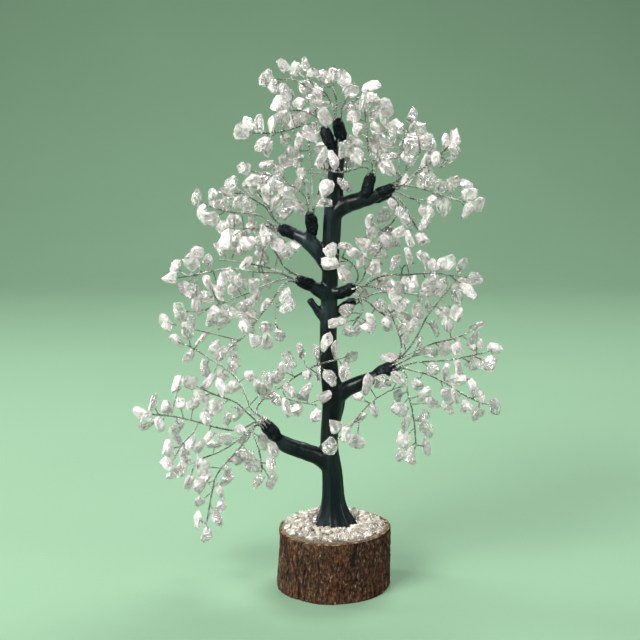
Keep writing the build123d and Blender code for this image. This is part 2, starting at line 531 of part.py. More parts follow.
def neck_of(name):
    """Start, direction and radius of a stub's neck."""
    places, radii = limb_course(limb_shares[name])
    return as_array(places[-2]), unit(as_array(places[-1] - places[-2])), radii[-1]


def clear_stem(crowd, starts, shares, diameter, skip):
    """The stem with the least lean whose wire clears the crowd after its first stretch."""
    best, best_gap = None, -float("inf")
    for step in depth_steps:
        stem = Stem([*starts, *stem_points(shares, step * stem_depth_share)], diameter)
        far = np.linalg.norm(stem.places - stem.places[0], axis=1) > skip
        gap = crowd.gap(stem.places[far], stem.balls[far])
        if gap > wire_clearance:
            return stem
        if gap > best_gap:
            best, best_gap = stem, gap
    print("stem", shares[0], "gap", round(best_gap, 2))
    return best


taken = Crowd()
taken.put(wood.centres, wood.radii)
sprays = {}
winding_radius = {}
for name in limb_shares:
    start, axis, neck_radius = neck_of(name)
    winding_radius[name] = neck_radius + slot_gap + stem_wire + binding_gap + binding_wire / 2
    tip = start + axis * neck_length
    aims = [as_array(seen(*shares[0])) - tip for shares in stem_shares[name]]
    outward = slot_turns(axis, aims)
    sprays[name] = []
    wires = Crowd()
    for shares, out in zip(stem_shares[name], outward):
        foot = start + out * (neck_radius + slot_gap + stem_wire / 2)
        leave = foot + axis * (neck_length + stem_exit)
        crowd = Crowd()
        crowd.put(taken.centres, taken.radii)
        crowd.put(wires.centres, wires.radii)
        stem = clear_stem(crowd, [Vector(*foot), Vector(*leave)], shares, stem_wire, neck_length + stem_exit)
        stem.bare_from = neck_length + stem_exit
        sprays[name].append(stem)
        wires.put(stem.places, stem.balls)
    taken.put(wires.centres, wires.radii)
    taken.put(along(start, start + axis * neck_length), winding_radius[name] + binding_wire / 2)


def joint_reach(parent_diameter, diameter, slope):
    """How far from a stem's middle line a branching wire starts, so that it just clears the stem."""
    return (parent_diameter / 2 + joint_gap + diameter / 2 * abs(cos(slope))) / sin(slope)


steepest_branch = 35
widest_branch = 100
end_branch = 60

for name, branches in side_stem_shares.items():
    for shares in branches:
        first = as_array(seen(*shares[0]))
        choices = []
        for parent in sprays[name]:
            if parent.diameter < stem_wire:
                continue
            for place, heading in zip(parent.places, parent.headings):
                aim = first - place
                slope = np.arccos(np.clip(unit(aim) @ heading, -1, 1))
                if radians(steepest_branch) < slope < radians(widest_branch):
                    choices.append((np.linalg.norm(aim), slope, place, parent))
        slope, place, parent = min(choices, key=lambda choice: choice[0])[1:]
        foot = place + unit(first - place) * joint_reach(parent.diameter, side_wire, slope)
        stem = clear_stem(taken, [Vector(*foot)], shares, side_wire, stem_exit)
        sprays[name].append(stem)
        taken.put(stem.places, stem.balls)

# Chips: tumbled quartz, drilled, in a few shapes

chip_kinds = 10
chip_corners = 6
chip_taper = 11
length_spread_share = 0.14
girth_spread_share = 0.12
corner_spread_share = 0.14
corner_swell_share = 0.05

# Steps of the sine that scatters a measure from one kind or corner to the next
length_beat = 2.4
width_beat = 1.7
thickness_beat = 3.1
corner_beat = 2.1
swell_beat = 3.3
kind_beat = 1.9


def chip_size(kind):
    """Length along the hole, breadth and thickness of one kind of chip: every other kind is drilled crosswise."""
    long = chip_length * (1 + length_spread_share * sin(length_beat * kind))
    short = chip_width * (1 + girth_spread_share * sin(width_beat * kind + 1))
    thick = chip_thickness * (1 + girth_spread_share * sin(thickness_beat * kind + 2))
    return (short, long, thick) if kind % 2 else (long, short, thick)


def chip_corner_places(kind):
    """The corners of a chip's outline, seen along its hole."""
    length, width, thickness = chip_size(kind)
    corners = []
    for index in range(chip_corners):
        turn = 2 * pi * (index + corner_spread_share * sin(corner_beat * index + kind)) / chip_corners
        swell = 1 - corner_swell_share * (1 + sin(swell_beat * index + kind_beat * kind))
        corners.append((width / 2 * swell * cos(turn), thickness / 2 * swell * sin(turn)))
    return corners


def chip_solid(kind):
    """A faceted pebble drilled along its length, its middle at the origin and its length along Z."""
    length, width, thickness = chip_size(kind)
    with BuildPart() as chip:
        for middle in (Plane.XY, Plane.XY.rotated((180, 0, 0))):
            with BuildSketch(middle):
                Polygon(*[(x, y * middle.z_dir.Z) for x, y in chip_corner_places(kind)], align=None)
            extrude(amount=length / 2, taper=chip_taper)
        Hole(hole_diameter / 2)
    return chip.part


def twig_solid(kind, length):
    """A twisted twig up to the chip, with one strand going on through the chip's hole."""
    chip_end = chip_size(kind)[0] / 2
    twist_end = -chip_end - loop_lead
    with BuildPart() as twig:
        with BuildSketch(Plane.XZ):
            with BuildLine():
                Polyline(
                    (0, twist_end - length),
                    (twig_wire / 2, twist_end - length),
                    (twig_wire / 2, twist_end),
                    (strand_wire / 2, twist_end),
                    (strand_wire / 2, chip_end + loop_lead),
                    (0, chip_end + loop_lead),
                    close=True,
                )
            make_face()
        revolve(axis=Axis.Z)
    return twig.part


chip_turn_rise = 0.3


class Chip:
    """A chip's kind, the place of its hole, the twig's direction and length, and the chip's turn on it."""

    def __init__(self, kind, centre, aim, length, number):
        self.kind = kind
        self.length = length
        sideways = unit(np.cross(aim, (sin(number), cos(number), chip_turn_rise)))
        self.location = Plane(Vector(*centre), x_dir=Vector(*sideways), z_dir=Vector(*aim)).location


def chip_ball(kind):
    """The radius of a ball that holds a chip."""
    return max(chip_size(kind)) / 2


def twig_choices(spray, centre, apex, longest_twig):
    """Ways to reach a chip's place from the stems of its spray, the most usual twig length first."""
    choices = []
    for stem in spray:
        bare = np.linalg.norm(stem.places - stem.places[0], axis=1) > stem.bare_from
        for index in np.flatnonzero(bare):
            aim = centre - stem.places[index]
            distance = np.linalg.norm(aim)
            slope = float(np.arccos(np.clip(aim @ stem.headings[index] / distance, -1, 1)))
            at_end = index == len(stem.places) - 1
            if at_end and slope < radians(end_branch):
                reach = (joint_gap + twig_wire / 2 * sin(slope)) / cos(slope)
            elif radians(steepest_branch) < slope < radians(widest_branch):
                reach = joint_reach(stem.diameter, twig_wire, slope)
            else:
                continue
            length = distance - reach - apex
            if shortest_twig < length < longest_twig:
                choices.append((index, slope, reach, length, stem, aim / distance))
    choices.sort(key=lambda choice: (abs(choice[3] - usual_twig), choice[0]))
    return choices


def place_chip(spray, centre, kind, number, longest_twig):
    """The first way to wire a chip to its spray that clears everything in place, or None."""
    ball, apex = chip_ball(kind), chip_size(kind)[0] / 2 + loop_lead
    if taken.gap(centre, ball) < chip_clearance:
        return None
    for index, slope, reach, length, stem, aim in twig_choices(spray, centre, apex, longest_twig)[:most_tries]:
        foot = stem.places[index] + aim * reach
        if feet.gap(foot, twig_wire / 2) < foot_spacing:
            continue
        side_room = stem.diameter / 2 + twig_wire / 2 + 2 * chip_clearance
        clear_of_stem = side_room / max(sin(slope), sin(radians(steepest_branch)))
        tip = centre - aim * apex
        begin = foot + aim * min(clear_of_stem, length)
        twig_balls = along(begin, tip)
        if taken.gap(twig_balls, twig_wire / 2) < chip_clearance:
            continue
        taken.put(centre, ball)
        taken.put(along(foot, tip), twig_wire / 2)
        feet.put(foot, twig_wire / 2)
        return Chip(kind, centre, aim, length, number)
    return None


def depth_of_stems(spray, x, z):
    """The depth of the stem that lies nearest to the line of sight through a place."""
    eye_place = as_array(seen(x, z, eye_shares[1]))
    sight = unit(as_array(seen(x, z)) - eye_place)
    places = np.vstack([stem.places for stem in spray])
    away = np.linalg.norm(np.cross(places - eye_place, sight), axis=1)
    return float(places[away.argmin()][1]) / hundredth


pebbles = [chip_solid(kind) for kind in range(chip_kinds)]
feet = Crowd()
wired = {name: [] for name in sprays}


def hang_chip(name, x, z, number):
    """Wires one chip of a spray, at the depth and with the twig that need the least room."""
    near = depth_of_stems(sprays[name], x, z) + chip_spread_share * sin(number * length_beat)
    for longest_twig in twig_limits:
        for step in depth_steps:
            centre = as_array(seen(x, z, near + step * chip_depth_share))
            chip = place_chip(sprays[name], centre, number * kind_stride % chip_kinds, number, longest_twig)
            if chip:
                wired[name].append(chip)
                return
    print("no room for a chip of", name, "at", x, z)


number = 0
for name, places in chip_shares.items():
    for x, z in places:
        number += 1
        hang_chip(name, x, z, number)
lengths = [chip.length for chips in wired.values() for chip in chips]
print("chips", len(lengths), "twigs", round(min(lengths), 1), "to", round(max(lengths), 1))

# Bindings: each one winds round its neck and the stems that lie along it


def winding_points(radius, turns, pitch):
    """Places and directions on a helix, a quarter turn apart."""
    rise = pitch / (2 * pi)
    for quarter in range(4 * turns + 1):
        turn = quarter * pi / 2
        place = Vector(radius * cos(turn), radius * sin(turn), rise * turn)
        yield place, Vector(-radius * sin(turn), radius * cos(turn), rise).normalized()


def binding_solid(radius):
    """A wire wound on quarter-turn biarcs, with a straight end as long as the wire is thick."""
    stations = list(winding_points(radius, binding_turns, binding_pitch))
    with BuildPart() as binding:
        with BuildLine() as winding:
            first, heading = stations[0]
            Line(first - heading * binding_wire, first)
            for (start, start_aim), (end, end_aim) in zip(stations, stations[1:]):
                chord = end - start
                both, unlike = start_aim + end_aim, 2 * (1 - start_aim.dot(end_aim))
                reach = (sqrt(chord.dot(both) ** 2 + unlike * chord.dot(chord)) - chord.dot(both)) / unlike
                start_corner, end_corner = start + start_aim * reach, end - end_aim * reach
                middle = (start_corner + end_corner) / 2
                TangentArc(start, middle, tangent=start_aim)
                TangentArc(middle, end, tangent=end_corner - start_corner)
            last, heading = stations[-1]
            Line(last, last + heading * binding_wire)
        with BuildSketch(Plane(winding.line @ 0, z_dir=winding.line % 0)):
            Circle(binding_wire / 2)
        sweep()
    return binding.part


def winding_gap(radius):
    """The least gap between a binding's neighbouring turns, on points of its helix."""
    steps = 48
    turns = np.arange(steps * binding_turns + 1) * 2 * pi / steps
    rises = binding_pitch * turns / (2 * pi)
    places = np.stack([radius * np.cos(turns), radius * np.sin(turns), rises], axis=1)
    apart = np.linalg.norm(places[:, None] - places[None], axis=2)
    far = np.abs(np.arange(len(turns))[:, None] - np.arange(len(turns))[None]) > steps / 2
    return apart[far].min() - binding_wire


# Gravel: stones dropped one by one on the bed of glue

bed_top = slice_height + glue_thickness
bed_radius = heart_radius - cambium_gap
foot_half = (trunk_edge_shares[0][2] - trunk_edge_shares[0][1]) / 2 * (1 + trunk_edge_shares[0][3]) * hundredth
foot_middle = (trunk_edge_shares[0][1] + trunk_edge_shares[0][2]) / 2 * hundredth

with BuildPart() as glue_bed:
    with BuildSketch(Plane.XY.offset(slice_height)):
        Circle(bed_radius)
        with Locations((foot_middle, 0)):
            Circle(foot_half + peg_clearance, mode=Mode.SUBTRACT)
    extrude(amount=glue_thickness)
glue_bed.part.label = "glue_bed"

stone_kinds = 6
stone_corners = 5
stone_height_share = 0.62
stone_bevel_share = 0.2
stone_spread_share = 0.2
stone_girth_share = 0.82
stone_swell_share = 0.06
layer_count = 236
layers = 3
stone_gap = 0.05


def stone_solid(kind):
    """A small faceted stone that a ball of the stone's size holds, its middle at the origin."""
    with BuildPart() as stone:
        with BuildSketch(Plane.XY.offset(-stone_size * stone_height_share / 2)):
            corners = []
            for index in range(stone_corners):
                turn = 2 * pi * (index + stone_spread_share * sin(corner_beat * index + kind)) / stone_corners
                swell = stone_girth_share + stone_swell_share * sin(kind_beat * index + thickness_beat * kind)
                corners.append(Vector(cos(turn), sin(turn)) * stone_size / 2 * swell)
            Polygon(*corners, align=None)
        extrude(amount=stone_size * stone_height_share)
        chamfer(stone.faces().sort_by(Axis.Z)[-1].edges(), length=stone_size * stone_bevel_share)
    return stone.part


stones = [stone_solid(kind) for kind in range(stone_kinds)]
pile = Crowd()
trunk_foot = Crowd()
low = wood.centres[:, 2] < slice_height + 4 * stone_size
trunk_foot.put(wood.centres[low], wood.radii[low])
stone_places = []
for index in range(layers * layer_count):
    away = bed_radius * sqrt((index % layer_count + 0.5) / layer_count)
    turn = radians(golden_turn) * (index + index // layer_count / layers)
    x, y = away * cos(turn), away * sin(turn)
    if away > bed_radius - stone_size / 2 - stone_gap:
        continue
    height = bed_top + stone_gap + stone_size * stone_height_share / 2
    if len(pile.radii):
        across = np.hypot(pile.centres[:, 0] - x, pile.centres[:, 1] - y)
        lift = np.sqrt(np.clip((stone_size + stone_gap) ** 2 - across**2, 0, None))
        touching = across < stone_size + stone_gap
        if touching.any():
            height = max(height, (pile.centres[touching, 2] + lift[touching]).max())
    dome = bed_top + gravel_dome * (1 - (away / bed_radius) ** 2)
    centre = np.array([x, y, height])
    if height - stone_size / 2 > dome or trunk_foot.gap(centre, stone_size / 2) < stone_gap:
        continue
    pile.put(centre, stone_size / 2)
    stone_places.append(centre)
print("stones", len(stone_places))

# Assembly: each node is written with its own name

os.makedirs("parts", exist_ok=True)


def write(part, name):
    """Writes one node."""
    part.label = name
    export_step(part, f"parts/{name}.step")


for piece in (bark_ring, wood_slice, glue_bed, trunk):
    write(piece.part, piece.part.label)

write(
    Compound([
        stones[index % stone_kinds].moved(Location(Vector(*place), (0, 0, golden_turn * index)))
        for index, place in enumerate(stone_places)
    ]),
    "quartz_gravel",
)

binding_lead = (neck_length - binding_turns * binding_pitch) / 2
for name, spray in sprays.items():
    start, axis, neck_radius = neck_of(name)
    radius = winding_radius[name]
    neck_plane = Plane(Vector(*(start + axis * binding_lead)), z_dir=Vector(*axis))
    write(binding_solid(radius).moved(neck_plane.location), f"{name}_binding")
    print(name, "winding gap", round(float(winding_gap(radius)), 2))
    write(Compound([wire_tube(stem.points, stem.diameter) for stem in spray]), f"{name}_stems")
    hung = wired[name]
    write(Compound([twig_solid(chip.kind, chip.length).moved(chip.location) for chip in hung]), f"{name}_twigs")
    write(Compound([pebbles[chip.kind].moved(chip.location) for chip in hung]), f"{name}_chips")
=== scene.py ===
# %% [markdown]
# # Dressing a wired gemstone tree
#
# The real ornament is a slice of log with its bark, a moulded resin trunk glued into it, and twelve sprays of
# twisted wire that end in drilled, tumbled quartz chips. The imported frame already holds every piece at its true
# place and size. This script gives each piece the shape that the eye sees, and its finish.
# The frame is opened first, because every later cell reads the places of the pieces from it.

from math import pi, radians

import bpy
import numpy as np
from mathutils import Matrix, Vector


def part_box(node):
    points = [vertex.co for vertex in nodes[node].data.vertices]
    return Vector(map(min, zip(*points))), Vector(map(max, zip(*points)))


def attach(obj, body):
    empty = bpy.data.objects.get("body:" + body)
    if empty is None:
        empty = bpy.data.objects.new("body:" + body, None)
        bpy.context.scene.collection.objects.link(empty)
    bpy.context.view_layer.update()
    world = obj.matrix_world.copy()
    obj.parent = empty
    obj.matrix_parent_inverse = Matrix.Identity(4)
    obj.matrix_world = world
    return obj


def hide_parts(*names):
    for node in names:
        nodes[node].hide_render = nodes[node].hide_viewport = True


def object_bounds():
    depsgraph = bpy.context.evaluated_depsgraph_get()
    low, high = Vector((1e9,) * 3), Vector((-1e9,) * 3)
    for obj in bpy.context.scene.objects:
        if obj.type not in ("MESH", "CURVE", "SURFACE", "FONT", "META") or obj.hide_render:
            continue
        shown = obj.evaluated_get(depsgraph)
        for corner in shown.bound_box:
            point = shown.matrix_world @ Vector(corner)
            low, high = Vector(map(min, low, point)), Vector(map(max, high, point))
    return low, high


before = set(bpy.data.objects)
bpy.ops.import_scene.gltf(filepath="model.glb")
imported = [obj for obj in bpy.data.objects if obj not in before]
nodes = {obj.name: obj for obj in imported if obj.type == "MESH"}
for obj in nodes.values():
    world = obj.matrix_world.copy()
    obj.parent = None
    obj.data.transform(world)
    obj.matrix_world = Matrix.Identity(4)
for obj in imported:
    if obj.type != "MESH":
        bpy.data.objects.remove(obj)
box_of_solids = np.array(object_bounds())
mm = 0.001
sprays = sorted(name[: -len("_chips")] for name in nodes if name.endswith("_chips"))
print("sprays", len(sprays), "nodes", len(nodes))

# %% [markdown]
# ## The camera
#
# The photograph looks slightly down on the tree from about seventy centimetres away. The lens could be guessed,
# but the height of the tree and the ellipse of the log's rim together give both the distance and the tilt.

# %% Camera
def placed(name, data):
    """A new object with that data, linked to the scene."""
    made = bpy.data.objects.new(name, data)
    bpy.context.scene.collection.objects.link(made)
    return made


lens = bpy.data.cameras.new("camera")
lens.lens = 75.0
lens.sensor_width = 36.0
lens.clip_start = 0.01
camera = placed("camera", lens)
camera.location = (-0.00786, -0.711, 0.2752)
camera.rotation_euler = (radians(80), 0, 0)
bpy.context.scene.camera = camera
bpy.context.scene.view_settings.view_transform = "Standard"
print("camera", tuple(camera.location))

# %% [markdown]
# ## A floor that turns up into a wall
#
# A product table is a sheet of paper that curves up behind the object, so no edge shows. It could be two planes,
# but their join would draw a line through the picture. Here it is one profile carried sideways: flat, a quarter
# turn, then upright. The curve's points are a quarter circle, so the light falls off along it smoothly.

# %% Sweep of pale paper
def sweep_sheet(name, profile, half_width, columns):
    """A profile of (depth, height) points carried straight along x from -half_width to half_width."""
    rows = len(profile)
    across = np.linspace(-half_width, half_width, columns)
    x, row = np.meshgrid(across, np.arange(rows), indexing="ij")
    points = np.stack([x, profile[row, 0], profile[row, 1]], axis=-1).reshape(-1, 3)
    cell = np.arange((columns - 1) * (rows - 1))
    corner = cell // (rows - 1) * rows + cell % (rows - 1)
    faces = np.stack([corner, corner + rows, corner + rows + 1, corner + 1], axis=1)
    mesh = bpy.data.meshes.new(name)
    mesh.from_pydata(points.tolist(), [], faces.tolist())
    mesh.polygons.foreach_set("use_smooth", np.ones(len(faces), bool))
    return placed(name, mesh)


front, bend_start, bend_radius, wall_top = -2.0, 1.1, 0.7, 3.2
quarter = np.linspace(-pi / 2, 0, 24)
bend = np.stack([bend_start + bend_radius * np.cos(quarter), bend_radius + bend_radius * np.sin(quarter)], axis=1)
profile = np.concatenate([[[front, 0.0]], bend, [[bend_start + bend_radius, wall_top]]])
paper = sweep_sheet("paper", profile, half_width=3.0, columns=3)
print("paper", tuple(round(v, 2) for v in paper.dimensions))

# %% [markdown]
# ## Writing shaders as sums
#
# A material is a graph of nodes, and a graph written link by link is hard to read. One small class wraps a
# socket, so that a plus or a times in Python adds the Math node that does it. Colours and vectors keep to Mix and
# Vector Math nodes, because a Math node would turn them grey. Patterns are measured in features to the metre: 500
# gives spots of about two millimetres.

# %% Socket arithmetic
class Wire:
    """A shader socket that can be added and multiplied, each of which makes one Math node."""

    def __init__(self, board, socket):
        self.board, self.socket = board, socket

    def join(self, operation, other, swapped=False):
        pair = (other, self) if swapped else (self, other)
        return self.board.node("ShaderNodeMath", {"operation": operation}, {0: pair[0], 1: pair[1]})

    def __add__(self, other):
        return self.join("ADD", other)

    def __radd__(self, other):
        return self.join("ADD", other, True)

    def __mul__(self, other):
        return self.join("MULTIPLY", other)

    def __rmul__(self, other):
        return self.join("MULTIPLY", other, True)


print("socket arithmetic ready")

# %% A board of nodes
class Board:
    """The node tree of one material, with one method that makes any node and wires it."""

    def __init__(self, name):
        self.material = bpy.data.materials.new(name)
        self.material.use_nodes = True
        self.tree = self.material.node_tree
        self.tree.nodes.clear()

    def node(self, kind, settings=None, sockets=None, output=0):
        """Makes a node of that kind: its settings first, then its sockets' values or links. Gives one output."""
        made = self.tree.nodes.new(kind)
        for key, value in (settings or {}).items():
            if key == "stops":
                for extra in value[2:]:
                    made.color_ramp.elements.new(0.5)
                for stop, (place, colour) in zip(made.color_ramp.elements, value):
                    stop.position = place
                    stop.color = (*colour, 1)
            else:
                setattr(made, key, value)
        for key, value in (sockets or {}).items():
            if isinstance(value, Wire):
                self.tree.links.new(value.socket, made.inputs[key])
            else:
                made.inputs[key].default_value = value
        return None if output is None else Wire(self, made.outputs[output])

    def place(self, *features):
        """Object coordinates, stretched to that many features a metre, the same on all axes or one for each."""
        own = self.node("ShaderNodeTexCoord", output="Object")
        stretch = features if len(features) == 3 else features * 3
        return self.node("ShaderNodeMapping", None, {"Vector": own, "Scale": stretch})

    def noise(self, *features, detail=3.0, roughness=0.55):
        """Soft noise from 0 to 1."""
        return self.node("ShaderNodeTexNoise", None, {"Vector": self.place(*features), "Scale": 1.0,
                                                      "Detail": detail, "Roughness": roughness})

    def cells(self, features, kind, output):
        """A pattern of cells: how far the nearest edge is, or one colour for each cell."""
        return self.node("ShaderNodeTexVoronoi", {"feature": kind},
                         {"Vector": self.place(features), "Scale": 1.0}, output=output)

    def tally(self, name):
        """A number that the mesh carries at each of its points."""
        return self.node("ShaderNodeAttribute", {"attribute_name": name}, output="Fac")

    def spread(self, value, low, high, to_low=0.0, to_high=1.0):
        """Moves the range low to high onto another range, held at its ends."""
        return self.node("ShaderNodeMapRange", None,
                         {"Value": value, "From Min": low, "From Max": high, "To Min": to_low, "To Max": to_high})

    def ramp(self, value, stops):
        """A colour for each value, blended between the stops."""
        return self.node("ShaderNodeValToRGB", {"stops": stops}, {"Fac": value})

    def blend(self, share, first, second):
        """A mix of two colours, each a socket or three numbers."""
        first, second = (colour if isinstance(colour, Wire) else (*colour, 1) for colour in (first, second))
        return self.node("ShaderNodeMix", {"data_type": "RGBA"}, {0: share, 6: first, 7: second}, output=2)

    def bump(self, height, depth, strength=1.0, under=None):
        """A normal pushed about by a height, whose full range is depth metres."""
        sockets = {"Height": height, "Distance": depth, "Strength": strength}
        if under:
            sockets["Normal"] = under
        return self.node("ShaderNodeBump", None, sockets)

    def principled(self, **sockets):
        """The general surface shader, with underscores for the spaces in its sockets' names."""
        return self.node("ShaderNodeBsdfPrincipled", None,
                         {key.replace("_", " "): value for key, value in sockets.items()})

    def finish(self, surface):
        """Ends the graph and gives the material."""
        self.node("ShaderNodeOutputMaterial", None, {"Surface": surface}, output=None)
        print("finish", self.material.name)
        return self.material


print("board ready")

# %% [markdown]
# ## Paper
#
# Matt paper has a very fine tooth and a hardly visible cloudiness. A flat colour would look unreal right up
# close, so a little noise moves both its tone and its surface.

# %% Paper finish
board = Board("pale_paper")
cloud = board.noise(6, detail=2)
tooth = board.noise(900, detail=2)
paper_finish = board.finish(board.principled(
    Base_Color=board.blend(cloud, (0.142, 0.243, 0.156), (0.156, 0.261, 0.170)),
    Roughness=board.spread(tooth, 0.3, 0.7, 0.75, 0.95),
    Normal=board.bump(tooth, 0.0001, 0.3),
    Specular_IOR_Level=0.25,
))
paper.data.materials.append(paper_finish)

# %% [markdown]
# ## Light
#
# The photograph has soft light: a broad window high on the left in front, a weaker one on the right, and pale
# walls all round. Soft boxes nearly a metre wide give the stones bright rims without hard shadows, and the pale
# world fills what is left. The strip on the far left draws the light edge on the dark trunk, and the box above and
# behind parts the crown from the wall.

# %% Soft boxes
def soft_box(name, place, aim, size, power, tint=(1, 1, 1)):
    """A rectangular area light at a place, turned so that its face looks at the aim."""
    lamp = bpy.data.lights.new(name, "AREA")
    lamp.shape = "RECTANGLE"
    lamp.size, lamp.size_y = size
    lamp.energy = power
    lamp.color = tint
    holder = placed(name, lamp)
    holder.location = place
    way = np.array(aim) - np.array(place)
    flat = float(np.hypot(way[0], way[1]))
    holder.rotation_euler = (float(np.arctan2(flat, -way[2])), 0, float(np.arctan2(-way[0], way[1])))


crown_middle = (0, 0, 0.16)
soft_box("window_left", (-0.8, -0.9, 1.0), crown_middle, (0.7, 0.7), 44, (1.0, 0.98, 0.955))
soft_box("window_right", (1.1, -0.7, 0.5), crown_middle, (0.5, 0.9), 10, (0.98, 0.98, 1.0))
soft_box("strip_left", (-1.1, 0.35, 0.5), crown_middle, (0.25, 1.0), 14)
soft_box("top_back", (0.3, 0.7, 1.2), crown_middle, (0.9, 0.5), 22)
sky = bpy.data.worlds.new("pale_room")
sky.use_nodes = True
background = sky.node_tree.nodes["Background"]
background.inputs["Color"].default_value = (0.89, 0.92, 0.89, 1)
background.inputs["Strength"].default_value = 0.33
bpy.context.scene.world = sky
print("lights", len(bpy.data.lights))

# %% [markdown]
# ## Reading a node as separate pieces
#
# One node holds a whole set, such as all the chips of a spray. Its triangles are loose, so first the points that
# lie on one another become one, and then every point takes the lowest label it can reach along the triangles.
# Walking from face to face would need a loop over points. Passing labels along all edges at once, and letting
# each label jump to its own label, settles in a few rounds. Then each piece's middle, main directions and half
# sizes are measured, all pieces at once.

# %% Merge
same_point = 2e-6


def read(items, what, width=3, kind=np.float32):
    """One property of every vertex, corner or loop of a mesh, as rows of that width."""
    values = np.empty(len(items) * width, kind)
    items.foreach_get(what, values)
    return values.reshape(-1, width)


def merged(node):
    """Points and triangles of a node's mesh, with points that lie within two micrometres made one."""
    mesh = nodes[node].data
    points = read(mesh.vertices, "co")
    corners = read(mesh.loops, "vertex_index", 1, np.int32)[:, 0]
    first, place = np.unique(np.round(points / same_point).astype(np.int64), axis=0,
                             return_index=True, return_inverse=True)[1:]
    return points[first].astype(float), place.reshape(-1)[corners].reshape(-1, 3)


print("the bark's corners", len(nodes["bark_ring"].data.loops), "merged", len(merged("bark_ring")[0]))

# %% Split into pieces
def pieces_of(triangles, count):
    """A label for every triangle, the same over each connected piece, counted in the order of the triangles."""
    label = np.arange(count)
    while True:
        low = label[triangles].min(axis=1)
        new = label.copy()
        np.minimum.at(new, triangles.ravel(), np.repeat(low, 3))
        new = np.minimum(new, new[new])
        if np.array_equal(new, label):
            break
        label = new
    first, place = np.unique(label[triangles[:, 0]], return_index=True, return_inverse=True)[1:]
    order = np.argsort(np.argsort(first))
    return order[place.reshape(-1)], len(first)


def parts_in(node):
    """Points, triangles, each triangle's label and the number of pieces of a node."""
    points, triangles = merged(node)
    return points, triangles, *pieces_of(triangles, len(points))


parts_of = {(name, kind): parts_in(f"{name}_{kind}") for name in sprays for kind in ("chips", "twigs", "stems")}
print({kind: sum(parts_of[name, kind][3] for name in sprays) for kind in ("chips", "twigs", "stems")})

# %% Measure the pieces
def sums(label, rows, count):
    """The rows that share a label, added up: one row for each of the labels, whose number is count."""
    return np.stack([np.bincount(label, column, count) for column in rows.T], axis=1)


def face_crosses(corner):
    """The cross product of two edges of each triangle, which is as long as twice its area."""
    return np.cross(corner[:, 1] - corner[:, 0], corner[:, 2] - corner[:, 0])


def middles(points, triangles, label, count):
    """Middle of each piece: the mean of its triangles' middles, weighted by their areas."""
    corner = points[triangles]
    area = np.linalg.norm(face_crosses(corner), axis=1, keepdims=True)
    return sums(label, corner.mean(axis=1) * area, count) / sums(label, area, count)


def main_ways(points, triangles, label, count, middle):
    """The three main directions of each piece, longest first: eigenvectors of how its corners scatter."""
    own = np.repeat(label, 3)
    away = points[triangles].reshape(-1, 3) - middle[own]
    scatter = sums(own, (away[:, :, None] * away[:, None]).reshape(-1, 9), count).reshape(count, 3, 3)
    return np.linalg.eigh(scatter)[1][:, :, ::-1].transpose(0, 2, 1)


def reach(points, triangles, label, count, middle, way):
    """Lowest and highest place of each piece's corners along one direction of its own, from its middle."""
    own = np.repeat(label, 3)
    along = ((points[triangles].reshape(-1, 3) - middle[own]) * way[own]).sum(axis=1)
    low, high = np.full(count, np.inf), np.full(count, -np.inf)
    np.minimum.at(low, own, along)
    np.maximum.at(high, own, along)
    return low, high


def half_sizes(points, triangles, label, count, middle, ways):
    """How far each piece reaches from its middle along each of its own three ways, on the longer side."""
    ends = [reach(points, triangles, label, count, middle, ways[:, axis]) for axis in range(3)]
    return np.abs(ends).max(axis=1).T


def as_one(points, triangles):
    """A merged mesh with all its triangles as one piece, for the functions above."""
    return points, triangles, np.zeros(len(triangles), int), 1


heights = np.concatenate([middles(*parts_of[name, "chips"])[:, 2] for name in sprays])
print("chips' heights, mm", round(heights.min() / mm), "to", round(heights.max() / mm))

# %% [markdown]
# ## Building meshes from whole arrays
#
# Tubes, chips and bark are all grids: rows along the piece and columns round it. One class turns each grid into
# quads, wound so that they face outward, and gathers many grids into one mesh, because a thousand objects would be
# slow to handle. A tube is a circle carried along a line, and a twisted pair is two tubes about one line.

# %% Grids into meshes
def mark(mesh, name, values):
    """Writes one number for each point of a mesh, which a material can read by its name."""
    mesh.attributes.new(name, "FLOAT", "POINT").data.foreach_set("value", values.astype(np.float32))


def stands_for(piece, replaced):
    """Rides a piece on the body and hides the node that it stands for."""
    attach(piece, "root")
    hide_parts(replaced)
    return piece


class Bundle:
    """Points, faces and one number per point, gathered from many grids and written as one object."""

    def __init__(self):
        self.points, self.faces, self.marks, self.count = [], [], {}, 0

    def add(self, grid, ring=False, **marks):
        """Adds a grid of rows and columns of points. Columns always close; rows close too when ring is true,
        and otherwise each end is capped with one flat face. Marks are numbers that its points carry."""
        rows, columns = grid.shape[:2]
        row = np.arange(rows if ring else rows - 1)[:, None]
        column = np.arange(columns)[None, :]
        after, beside = (row + 1) % rows, (column + 1) % columns
        quads = np.stack([row * columns + column, row * columns + beside,
                          after * columns + beside, after * columns + column], axis=-1).reshape(-1, 4)
        self.faces += (quads + self.count).tolist()
        if not ring:
            self.faces.append((np.arange(columns)[::-1] + self.count).tolist())
            self.faces.append((np.arange(columns) + (rows - 1) * columns + self.count).tolist())
        self.points.append(grid.reshape(-1, 3))
        for key, value in marks.items():
            self.marks.setdefault(key, []).append(np.broadcast_to(value, (rows, columns)).reshape(-1))
        self.count += rows * columns

    def write(self, name, slot, replaced, smooth=True):
        """Makes the object, which rides on the body and stands for the replaced node."""
        mesh = bpy.data.meshes.new(name)
        mesh.from_pydata(np.concatenate(self.points), [], self.faces)
        mesh.polygons.foreach_set("use_smooth", np.full(len(mesh.polygons), smooth))
        for key, value in self.marks.items():
            mark(mesh, key, np.concatenate(value))
        return stands_for(placed(name, mesh), replaced)


print("grids ready")

# %% Lines into tubes
def unit(vectors):
    """Vectors scaled to length one."""
    return vectors / np.maximum(np.linalg.norm(vectors, axis=-1, keepdims=True), 1e-12)


